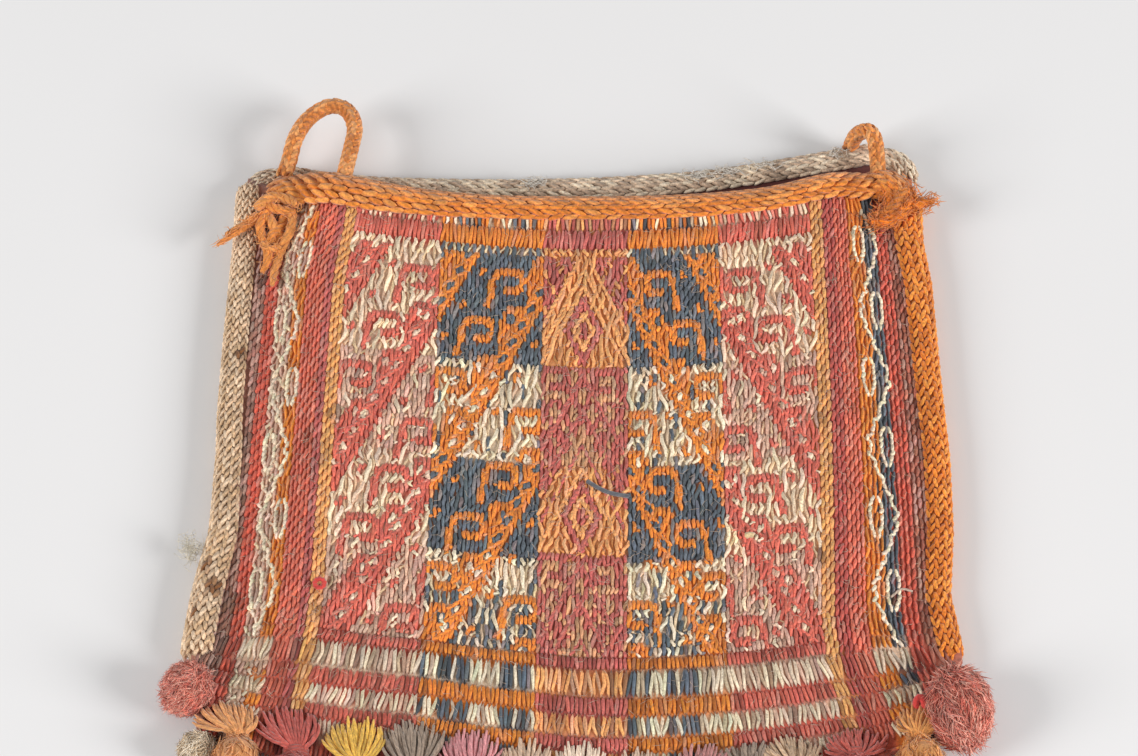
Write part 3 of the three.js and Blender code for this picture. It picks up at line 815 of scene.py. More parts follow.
@dataclass(frozen=True)
class WeaveGrid:
    """Where the cloth's warp columns and weft rows run on the form."""

    form: ClothForm
    columns: float = 130.0
    rows: float = 78.0
    hidden: float = 4.2
    drawn_bow: float = 9.5
    drawn_bulge: float = 1.5
    places: Steps = (-5.0, 5.0, 18.0, 37.0, 45.0, 58.0, 66.0, 74.0, 90.0, 110.0, 113.0, 118.0, 124.5, 129.0)
    leans: Steps = (0.0, 0.1, 0.2, 0.4, 0.5, 0.8, 1.0, 1.2, 1.7, 3.1, 3.3, 2.8, 2.0, 0.6)
    sags: Steps = (1.3, 1.2, 0.6, 0.1, 0.3, 0.75, 1.2, 1.4, 1.7, 2.1, 2.2, 2.4, 2.5, 2.5)
    flares: Steps = (-3.6, -3.5, -3.2, -1.0, -0.6, -0.2, 0.0, 0.2, 1.2, 5.0, 5.1, 5.3, 5.5, 5.6)
    flare_rows: Span = (58.0, 77.0)
    lean_rows: Span = (10.0, 64.0)
    lean_run: float = 50.0
    sag_shares: Span = (0.15, 0.85)
    gather: float = 1.8
    gather_rows: Span = (3.0, 16.0)
    gather_columns: Span = (14.0, 30.0)
    probe: float = 0.4

    def _aside(self, column: Array, row: Array) -> tuple[Array, Array]:
        """How far the warp leans, and how far it flares, at columns and rows."""
        level, low = self.lean_rows
        lean = np.interp(column, self.places, self.leans) * (np.minimum(row, low) - level) / self.lean_run
        return lean, smooth(row, *self.flare_rows) * np.interp(column, self.places, self.flares)

    def place(self, column: Array, row: Array, front: bool, depth: float = 0.0) -> tuple[Array, Array]:
        """Points of the face at given columns and rows.

        Args:
            column: Place across, counted in columns of the mouth.
            row: Place down from the mouth, counted in weft rows.
            front: Whether the front wall is meant.
            depth: How far below the outer face.

        Returns:
            Local millimetres, and the share across of each point.
        """
        column, row = np.broadcast_arrays(np.asarray(column, float), np.asarray(row, float))
        lean, flare = self._aside(column, row)
        near_mouth, near_side = smooth(row, *self.gather_rows), smooth(column, *self.gather_columns)
        gathered = self.gather * (1 - near_mouth) * (1 - near_side)
        across = column - lean + gathered + flare
        start, gain = self.sag_shares
        down = row + np.interp(column, self.places, self.sags) * (start + gain * row / self.lean_rows[1])
        share = np.clip(1 - down / self.rows, 0.0, 1.0)
        rise = share * self.form.side_length
        side = across - self.columns / 2
        bulge = np.where(side > 0, self.drawn_bulge * 4 * share * (1 - share), 0.0)
        outline = self.form.outline(rise) + bulge
        x = (outline - self.form.edge_inset - self.hidden) * side / (self.columns / 2)
        u = x / self.form.half(rise, side)
        kept = np.clip(u, -1, 1)
        foot, top = self.form.foot_y(kept), self.form.front_top(kept)
        drawn = self.form.side_length - self.drawn_bow * (1 - kept * kept)
        v = np.clip(share * (drawn - foot) / (top - foot), 0.0, 1.0)
        return self.form.point(kept, v, front, depth), u

    def found(self, points: Array, v: float) -> tuple[Array, float]:
        """Columns and the row that points of the face belong to.

        Args:
            points: Places of the face, in local millimetres.
            v: Their share from the foot to the mouth.

        Returns:
            A column for each place, and the row.
        """
        row = (1 - v) * self.rows
        outline = self.form.outline(v * self.form.side_length)
        across = (points[:, 0] / (outline - self.form.edge_inset - self.hidden) + 1) * self.columns / 2
        column = across
        for _ in range(3):
            lean, flare = self._aside(column, row)
            column = across + lean - flare
        return column, row - float(np.mean(self.sags)) * row / self.lean_rows[1]

    def frames(self, column: Array, row: Array, front: bool) -> tuple[Array, Array, Array, Array]:
        """Places, warp directions and outward normals.

        Args:
            column: Place across in columns.
            row: Place down in rows.
            front: Whether the front wall is meant.

        Returns:
            Points, direction up the warp, outward normal, and share across.
        """
        point, u = self.place(column, row, front)
        above, below = (self.place(column, row + step, front)[0] for step in (-self.probe, self.probe))
        left, right = (self.place(column + step, row, front)[0] for step in (-self.probe, self.probe))
        along = unit(above - below)
        normal = unit(np.cross(right - left, along))
        return point, along, normal if front else -normal, u


@dataclass(frozen=True)
class Stripe:
    """One warp stripe: its columns, its yarns and how they lie."""

    start: float
    end: float
    ground: Yarn
    lay: Lay = Lay.GRAIN
    first: Yarn | None = None
    second: Yarn | None = None
    mirrored: bool = False
    edge: Yarn | None = None

    @property
    def winding(self) -> bool:
        """Whether this is a narrow stripe with a winding line."""
        return self.lay is Lay.FIGURE and self.end - self.start < 8


@dataclass(frozen=True)
class Winding:
    """The winding pale line of a narrow stripe and the diamonds beside it."""

    period: float
    first: float
    middle: float
    swing: float
    split: float
    left: float
    right: float


Float = tuple[float, float, int, Lay]


class StripePattern:
    """The cloth's stripes and the figures woven into them, as fields and simple shapes."""

    TOP_BAR = (4.4, 6.9)
    FIGURES = (6.9, 61.9)
    BLOCKS = (23.7, 37.3, 50.0)
    BARS = (63.4, 66.2, 68.0, 70.2, 71.8, 74.0)
    BAND_SLOPE = 1.365
    BAND_START = 45.8
    BAND_PERIOD = 24.5
    FIGURE_SHARE = 15.0
    CELL_STEP = 2.45
    CELL_MIDDLE = 1.2
    CELLS = range(2, 26)
    BAND_TURNS = range(-3, 3)
    EDGE_ROWS = 1.3
    BORDER = 1.9
    SCROLL = (
        (-3.9, 2.9), (-3.1, -0.6), (-2.3, -1.9), (2.2, -2.0),
        (2.8, -1.0), (2.6, 0.1), (1.9, 0.6), (-0.4, 0.6),
    )
    SCROLL_HALF = (3.8, 2.8)
    SCROLL_EYE = (0.5, 4.6)
    SCROLLS = (
        (33.0, 13.3), (27.0, 20.6), (22.0, 28.2), (34.7, 35.2), (30.2, 42.0), (25.0, 49.0), (33.2, 60.2),
        (51.0, 12.8), (45.3, 20.0), (40.4, 27.6), (55.3, 32.3), (50.7, 40.0), (44.8, 47.2), (39.9, 54.2),
        (55.0, 57.4),
    )
    CENTRE = 66.0
    DIAMOND = (7.2, 25.3, 18.7)
    DIAMOND_SLOPE = 0.72
    LATTICE_TOP = 6.4
    LATTICE_STEP = 4.9
    SMALL_SCROLLS = ((-5.2, 26.0), (4.4, 26.3))
    SMALL_SCROLL = (
        ((-2.6, -1.8), (2.0, -1.8)), ((2.0, -1.8), (2.2, 1.0)),
        ((2.2, 0.6), (-0.6, 0.6)), ((-2.6, -1.8), (-3.0, 2.2)),
    )
    SMALL_SCROLL_HALF = (3.1, 2.3)
    YARN_PITCH = (0.72, 0.58)
    DIAMOND_EDGE = ((0.35, -2.7), (1.0, -1.7), (1.0, 0.9), (0.3, 2.6))
    PLAIN_STEP = 1.42
    FINE_STEP = 0.2
    FLOAT_PERIODS = {Yarn.CREAM.index: 3.0, Yarn.WHITE.index: 3.0, Yarn.GOLD.index: 2.6, Yarn.NAVY.index: 1.4}
    OTHER_PERIOD = 2.0
    RED_TWINS = 130.0
    ORANGE_TWINS = ((58.0, 20.7), (74.6, 18.1))
    PANEL_EDGE = 37.3
    CELL_LINES = (20.2, 21.6)
    CELL_HALF = (0.95, 0.66)
    NOTCH = (3.2, 0.85)
    EYE_HALF = (0.6, 0.7)
    NEST = (1.7, 3.4, 5.3)
    LATTICE_GAP = 1.7
    RAYS = (5.2, 1.2)
    WINDING_EYE = (1.35, 2.5, 0.9)
    LEFT_WINDING = Winding(18.3, 20.6, 7.7, 2.0, 8.0, 6.2, 9.7)
    RIGHT_WINDING = Winding(19.0, 27.8, 122.1, 2.1, 122.0, 120.6, 123.2)

    def __init__(self) -> None:
        """Lists the stripes from left to right."""
        self.stripes = [
            Stripe(-6.0, 2.4, Yarn.PURPLE),
            Stripe(2.4, 5.0, Yarn.NARROW_RED),
            Stripe(5.0, 10.9, Yarn.ORANGE, Lay.FIGURE, Yarn.MAUVE, Yarn.CREAM),
            Stripe(10.9, 16.3, Yarn.CORAL, edge=Yarn.ROSE),
            Stripe(16.3, 18.7, Yarn.TAN),
            Stripe(18.7, 37.3, Yarn.RED, Lay.FIGURE, Yarn.CREAM, Yarn.MAUVE),
            Stripe(37.3, 58.0, Yarn.ORANGE, Lay.FIGURE, Yarn.NAVY, Yarn.WHITE),
            Stripe(58.0, 74.6, Yarn.MAROON, Lay.FIGURE, Yarn.GOLD, Yarn.BROWN),
            Stripe(74.6, 92.7, Yarn.ORANGE, Lay.FIGURE, Yarn.NAVY, Yarn.WHITE, True),
            Stripe(92.7, 111.0, Yarn.RED, Lay.FIGURE, Yarn.CREAM, Yarn.MAUVE, True),
            Stripe(111.0, 113.5, Yarn.TAN),
            Stripe(113.5, 118.6, Yarn.CORAL, edge=Yarn.DARK_RED),
            Stripe(118.6, 124.5, Yarn.ORANGE, Lay.FIGURE, Yarn.NAVY, Yarn.CREAM, True),
            Stripe(124.5, 127.0, Yarn.NARROW_RED),
            Stripe(127.0, 138.0, Yarn.HEATHER),
        ]

    def stripe_at(self, column: float) -> Stripe:
        """The stripe that a column belongs to."""
        return next((s for s in self.stripes if s.start <= column < s.end), self.stripes[-1])

    def turned(self, column: Array, stripe: Stripe) -> Array:
        """Columns of a right panel as those of its left twin."""
        if not stripe.mirrored:
            return column
        (end, wide), (start, narrow) = self.ORANGE_TWINS
        orange = end - (column - start) * wide / narrow
        return self.RED_TWINS - column if stripe.ground is Yarn.RED else orange

    def unturned(self, column: Array, stripe: Stripe) -> Array:
        """Columns of a left panel as those of its right twin."""
        if not stripe.mirrored:
            return column
        (end, wide), (start, narrow) = self.ORANGE_TWINS
        orange = start + (end - column) * narrow / wide
        return self.RED_TWINS - column if stripe.ground is Yarn.RED else orange

    def _segment_gap(self, x: Array, y: Array, a: Span, b: Span) -> Array:
        """Distance to a segment, in yarn widths."""
        wide, tall = self.YARN_PITCH
        x, y = x / wide, y / tall
        ax, ay, bx, by = a[0] / wide, a[1] / tall, b[0] / wide, b[1] / tall
        dx, dy = bx - ax, by - ay
        share = np.clip(((x - ax) * dx + (y - ay) * dy) / (dx * dx + dy * dy), 0, 1)
        return np.hypot(x - ax - share * dx, y - ay - share * dy)

    @staticmethod
    def _within(x: Array, y: Array, half: Span) -> Array:
        """Whether places lie inside a box round the origin."""
        return (np.abs(x) < half[0]) & (np.abs(y) < half[1])

    def _cell_line(self, column: Array) -> Array:
        """Where across a band its cells lie, which differs between the two panels."""
        return np.where(np.asarray(column) < self.PANEL_EDGE, *self.CELL_LINES)

    def _bands(self, stripe: Stripe) -> list[float]:
        """Where a panel's lines of cells start."""
        line = float(self._cell_line(20.0 if stripe.ground is Yarn.RED else 45.0))
        return [self.BAND_START + line + turn * self.BAND_PERIOD for turn in self.BAND_TURNS]

    def _dull(self, row: Array) -> Array:
        """Whether rows lie in a block of the second figure yarn."""
        return ((row > self.BLOCKS[0]) & (row < self.BLOCKS[1])) | (row > self.BLOCKS[2])

    def _banded(self, column: Array, row: Array) -> Array:
        """Where the slanting bands and scrolls show the figure yarn.

        Args:
            column: Places across, in the left stripes' columns.
            row: Places down in rows.

        Returns:
            True where the figure yarn is on the face.
        """
        band = row + self.BAND_SLOPE * column - self.BAND_START
        across = band % self.BAND_PERIOD
        figure = across < self.FIGURE_SHARE
        cell_half, beat_half = self.CELL_HALF
        beat = np.abs((row % self.CELL_STEP) - self.CELL_MIDDLE) < beat_half
        notch = np.abs(across - self.NOTCH[0]) < self.NOTCH[1]
        figure &= ~(notch & beat & (np.floor(row / self.CELL_STEP) % 2 == 0))
        figure |= (np.abs(across - self._cell_line(column)) < cell_half) & beat
        for centre_x, centre_y in self.SCROLLS:
            x, y = column - centre_x, row - centre_y
            inside = self._within(x, y, self.SCROLL_HALF)
            gaps = [self._segment_gap(x, y, a, b) for a, b in zip(self.SCROLL[:-1], self.SCROLL[1:])]
            figure = (figure | inside) & (np.min(gaps, axis=0) >= 1.0)
            figure |= self._within(x - self.SCROLL_EYE[0], y - self.SCROLL_EYE[1], self.EYE_HALF)
        return figure

    def _diamonds(self, column: Array, row: Array) -> Array:
        """Where the middle stripe's diamonds and small scrolls show the figure yarn.

        Args:
            column: Places across.
            row: Places down in rows.

        Returns:
            True where the figure yarn is on the face.
        """
        start, period, heart = self.DIAMOND
        away = np.abs(column - self.CENTRE) / self.DIAMOND_SLOPE
        local = (row - start) % period + start
        nested = away + np.abs(local - heart)
        figure = away < local - self.LATTICE_TOP
        core, inner, outer = self.NEST
        figure &= ~((nested > inner) & (nested < outer))
        figure &= ~(nested < core)
        lower = local > self.BLOCKS[0]
        falling = ((local - away) % self.LATTICE_STEP) > self.LATTICE_GAP
        rising = ((local + away) % self.LATTICE_STEP) > self.LATTICE_GAP
        figure = np.where(lower, falling & rising, figure)
        rays = ((local + away) % self.RAYS[0]) < self.RAYS[1]
        figure |= ~lower & (away > local - self.LATTICE_TOP) & rays
        figure |= row < self.FIGURES[0] + self.EDGE_ROWS
        for centre_x, centre_y in self.SMALL_SCROLLS:
            x, y = column - self.CENTRE - centre_x, local - centre_y
            mirrored = -np.sign(centre_x)
            inside = self._within(x, y, self.SMALL_SCROLL_HALF)
            gaps = [self._segment_gap(x * mirrored, y, a, b) for a, b in self.SMALL_SCROLL]
            figure = np.where(inside, np.min(gaps, axis=0) > 1.0, figure)
        return figure

    def _winding_yarns(self, column: Array, row: Array, stripe: Stripe) -> Array:
        """Yarns of a narrow stripe under its winding line.

        Args:
            column: Places across.
            row: Places down in rows.
            stripe: The stripe itself.

        Returns:
            The yarn number at each place.
        """
        wind = self.RIGHT_WINDING if stripe.mirrored else self.LEFT_WINDING
        outer = (column > wind.split) if stripe.mirrored else (column < wind.split)
        yarn = np.where(outer, stripe.first.index, stripe.ground.index)
        if not stripe.mirrored:
            pale = np.sin(column * 5.1 + row * 2.3) > 0.45
            yarn = np.where(outer & pale, stripe.second.index, yarn)
        wide, high, reach = self.WINDING_EYE
        for shift, centre in ((0.0, wind.left), (0.5, wind.right)):
            tall = ((row - wind.first) / wind.period + shift + 0.5) % 1.0 - 0.5
            size = np.abs(column - centre) / wide + np.abs(tall * wind.period) / high
            inner = stripe.ground if stripe.mirrored and centre == wind.left else stripe.first
            yarn = np.where(size < reach, inner.index, yarn)
        striped = np.searchsorted(self.BARS, row, side="right")
        return np.where(striped % 2 == 1, stripe.second.index, yarn)

    def yarns(self, column: Array, row: Array, stripe: Stripe) -> Array:
        """The yarn on the face at places of one stripe.

        Args:
            column: Places across.
            row: Places down in rows.
            stripe: The stripe they are in.

        Returns:
            The yarn number at each place.
        """
        column, row = np.broadcast_arrays(np.asarray(column, float), np.asarray(row, float))
        ground = np.full(column.shape, stripe.ground.index)
        if stripe.edge is not None:
            left = stripe.edge is Yarn.ROSE
            border = column > stripe.end - self.BORDER if left else column < stripe.start + self.BORDER
            ground = np.where(border, stripe.edge.index, ground)
        if stripe.lay is not Lay.FIGURE:
            return ground
        if stripe.winding:
            return self._winding_yarns(column, row, stripe)
        dull = self._dull(row)
        shown = np.where(dull, stripe.second.index, stripe.first.index)
        if stripe.ground is Yarn.MAROON:
            figure = self._diamonds(column, row)
            light = np.where(np.sin(column * 2.6) > -0.5, Yarn.GOLD.index, Yarn.BROWN.index)
        else:
            edge = row < self.FIGURES[0] + self.EDGE_ROWS
            figure = self._banded(self.turned(column, stripe), row) | edge
            flecks = np.sin(column * 3.3 + np.floor(row / 1.9) * 2.1)
            if stripe.ground is Yarn.RED:
                light = np.where(np.sin(column * 2.3) > -0.45, Yarn.CREAM.index, Yarn.MAUVE.index)
                shown = np.where(dull & (flecks > 0.75), Yarn.CREAM.index, shown)
            else:
                dark = np.sin(column * 1.7) + np.sin(column * 0.61) > 0.0
                light = np.where(dark, Yarn.NAVY.index, Yarn.WHITE.index)
                late = row > self.BLOCKS[2] + 5
                shown = np.where(dull & (flecks > np.where(late, 0.0, 0.93)), Yarn.NAVY.index, shown)
                rim = np.where(np.sin(column * 3.9) > -0.2, Yarn.NAVY.index, Yarn.WHITE.index)
                shown = np.where(edge, rim, shown)
        yarn = np.where(figure & (row < self.FIGURES[1]), shown, ground)
        yarn = np.where(row < self.FIGURES[0], ground, yarn)
        ticks = (row < self.TOP_BAR[0]) & (np.floor(column * 0.9) % 2 == 0)
        yarn = np.where(ticks, light, yarn)
        bars = np.searchsorted(self.BARS, row, side="right")
        return np.where(bars > 0, np.where(bars % 2 == 1, light, ground), yarn)

    def cuts(self, column: float, stripe: Stripe, index: int, rows: float) -> list[Float]:
        """The floats of one warp column, from mouth to foot.

        Args:
            column: The column's place across.
            stripe: The stripe it is in.
            index: The column's number, which sets where its floats begin.
            rows: How many rows the face has.

        Returns:
            First row, last row, yarn number and lay of each float.
        """
        floats = []
        plain = stripe.lay is Lay.GRAIN
        if plain:
            step = self.PLAIN_STEP
            start = 1.0 + 0.5 * step * (index % 2)
            yarn = int(self.yarns(column, 30.0, stripe))
            while start < self.BARS[0]:
                floats.append((start, start + step, yarn, Lay.GRAIN))
                start += step
        fine = self.FINE_STEP
        places = np.arange(self.BARS[0] if plain else 1.0, rows, fine) + fine / 2
        found = self.yarns(np.full(places.shape, column), places, stripe)
        edges = {*self.TOP_BAR, self.FIGURES[1], *self.BARS}
        start = places[0] - fine / 2
        for place, yarn, after in zip(places, found, [*found[1:], -1]):
            end = place + fine / 2
            forced = any(abs(end - edge) < fine / 2 for edge in edges)
            bar = end > self.FIGURES[1] or end <= self.FIGURES[0]
            period = self.FLOAT_PERIODS.get(int(yarn), self.OTHER_PERIOD)
            due = (end + 0.5 * period * index) % period < fine and end - start > 0.8
            if after != yarn or forced or (due and not bar):
                if end - start > 0.3:
                    floats.append((start, end, int(yarn), Lay.BAR if bar else Lay.FIGURE))
                start = end
        return floats

    @staticmethod
    def _dense(points: list[Span], step: float = 0.25) -> Array:
        """A line through points, with places every short step of rows or columns."""
        knots = np.array(points, float)
        length = run_lengths(knots)
        return sampled(np.linspace(0, length[-1], max(3, int(length[-1] / step))), length, knots)

    def _clipped(self, path: Array, stripe: Stripe) -> list[Array]:
        """Runs of a line that lie inside a stripe's figures."""
        inside = (path[:, 0] > stripe.start + 0.2) & (path[:, 0] < stripe.end - 0.2)
        inside &= (path[:, 1] > self.FIGURES[0] + 1.4) & (path[:, 1] < self.FIGURES[1])
        runs = np.split(np.arange(len(path)), np.flatnonzero(np.diff(inside)) + 1)
        return [path[run] for run in runs if inside[run[0]] and len(run) > 2]

    def _winding_lines(self, stripe: Stripe) -> list[Array]:
        """The winding line of a narrow stripe and its diamonds' outlines.

        Args:
            stripe: The narrow stripe.

        Returns:
            Columns and rows along each line.
        """
        wind = self.RIGHT_WINDING if stripe.mirrored else self.LEFT_WINDING
        rows = np.arange(3.5, self.BARS[0], 0.25)
        zigzag = np.arcsin(np.cos(2 * np.pi * (rows - wind.first) / wind.period)) * 2 / np.pi
        wave = np.clip(zigzag * 1.25, -1, 1)
        jog = 0.22 * np.sin(rows * 2.9) + 0.16 * np.sin(rows * 5.3 + 1.0)
        lines = [np.stack([wind.middle + wind.swing * wave + jog, rows], axis=1)]
        for shift, centre in ((0.0, wind.left), (0.5, wind.right)):
            for turn in range(-2, 4):
                row = wind.first + (turn + shift) * wind.period
                if not 6.0 < row < self.BARS[0] - 2.5:
                    continue
                for side in (-1, 1):
                    lines.append(self._dense([(centre + side * x, row + y) for x, y in self.DIAMOND_EDGE]))
        return lines

    def _lattice(self, stripe: Stripe) -> list[Array]:
        """The crossing lines round a panel's cells and the upright strokes of its scrolls.

        Args:
            stripe: The panel's stripe.

        Returns:
            Columns and rows along each line.
        """
        lines = []
        for band in self._bands(stripe):
            for phase in (-1, 1):
                points = []
                for cell in self.CELLS:
                    for half in (0.0, 0.5):
                        row = (cell + half) * self.CELL_STEP + self.CELL_MIDDLE
                        offset = 0.0 if half else 1.3 * phase * (1 if cell % 2 else -1)
                        points.append(((band - row) / self.BAND_SLOPE + offset, row))
                lines.append(self._dense(points))
        for x, y in self.SCROLLS:
            for part in (self.SCROLL[:3], self.SCROLL[3:6]):
                lines.append(self._dense([(x + a, y + b) for a, b in part]))
        turned = [np.stack([self.unturned(line[:, 0], stripe), line[:, 1]], axis=1) for line in lines]
        return [run for line in turned for run in self._clipped(line, stripe)]

    def _spots(self, stripe: Stripe) -> list[tuple[Array, Yarn]]:
        """The short pale or dark floats inside a panel's cells.

        Args:
            stripe: The panel's stripe.

        Returns:
            Columns and rows along each float, and its yarn.
        """
        places = [(x + self.SCROLL_EYE[0], y + self.SCROLL_EYE[1]) for x, y in self.SCROLLS]
        rows = np.array(self.CELLS) * self.CELL_STEP + self.CELL_MIDDLE
        places += [((band - row) / self.BAND_SLOPE, row) for band in self._bands(stripe) for row in rows]
        drawn = []
        for column, row in places:
            yarn = stripe.first
            if self._dull(row):
                yarn = stripe.second if int(row * 7) % 3 else Yarn.CREAM
            path = self._dense([(column, row - 0.5), (column + 0.1, row), (column, row + 0.5)])
            path[:, 0] = self.unturned(path[:, 0], stripe)
            drawn += [(run, yarn) for run in self._clipped(path, stripe)]
        return drawn

    def _diamond_lines(self, stripe: Stripe) -> list[tuple[Array, Yarn]]:
        """The nested diamonds and slanting lines of the middle stripe.

        Args:
            stripe: The middle stripe.

        Returns:
            Columns and rows along each line, and its yarn.
        """
        _, period, heart = self.DIAMOND
        sides = (-self.DIAMOND_SLOPE, self.DIAMOND_SLOPE)
        drawn = []

        def draw(points: list[Span], yarn: Yarn, below: float = 0.0) -> None:
            """Keeps what the stripe shows of a line, below a row."""
            runs = self._clipped(self._dense(points), stripe)
            drawn.extend((run[run[:, 1] > below], yarn) for run in runs)

        for turn in range(2):
            top = heart + turn * period
            for reach, yarn in ((2.5, Yarn.GOLD), (4.4, Yarn.MAROON)):
                for side in sides:
                    edge = [(0.0, -reach), (reach, 0.0), (0.0, reach)]
                    draw([(self.CENTRE + side * x, top + y) for x, y in edge], yarn)
            for rise in (11.5, 8.6, 6.4) if turn == 0 else (6.4,):
                for side in sides:
                    draw([(self.CENTRE, top - rise), (self.CENTRE + side * (rise + 4), top + 4.0)], Yarn.GOLD)
            for fall in (9.5, 14.4, 19.3):
                for side in sides:
                    line = [(self.CENTRE, top + fall - 3.5), (self.CENTRE + side * 11, top + fall + 7.5)]
                    draw(line, Yarn.MAROON, top + 5.5)
        return [(run, yarn) for run, yarn in drawn if len(run) > 3]

    def lines(self) -> list[tuple[Array, Yarn]]:
        """Yarns that run over the face as lines.

        Returns:
            Columns and rows along each line, and its yarn.
        """
        drawn = []
        for stripe in self.stripes:
            if stripe.lay is not Lay.FIGURE:
                continue
            if stripe.winding:
                drawn += [(line, Yarn.WHITE) for line in self._winding_lines(stripe)]
            elif stripe.ground is Yarn.MAROON:
                drawn += self._diamond_lines(stripe)
            else:
                drawn += [(line, stripe.ground) for line in self._lattice(stripe)]
                drawn += self._spots(stripe)
        return drawn


@dataclass(frozen=True)
class Stain:
    """A brown mark on the cloth: its place in columns and rows, its reach and strength."""

    column: float
    row: float
    reach: float
    strength: float


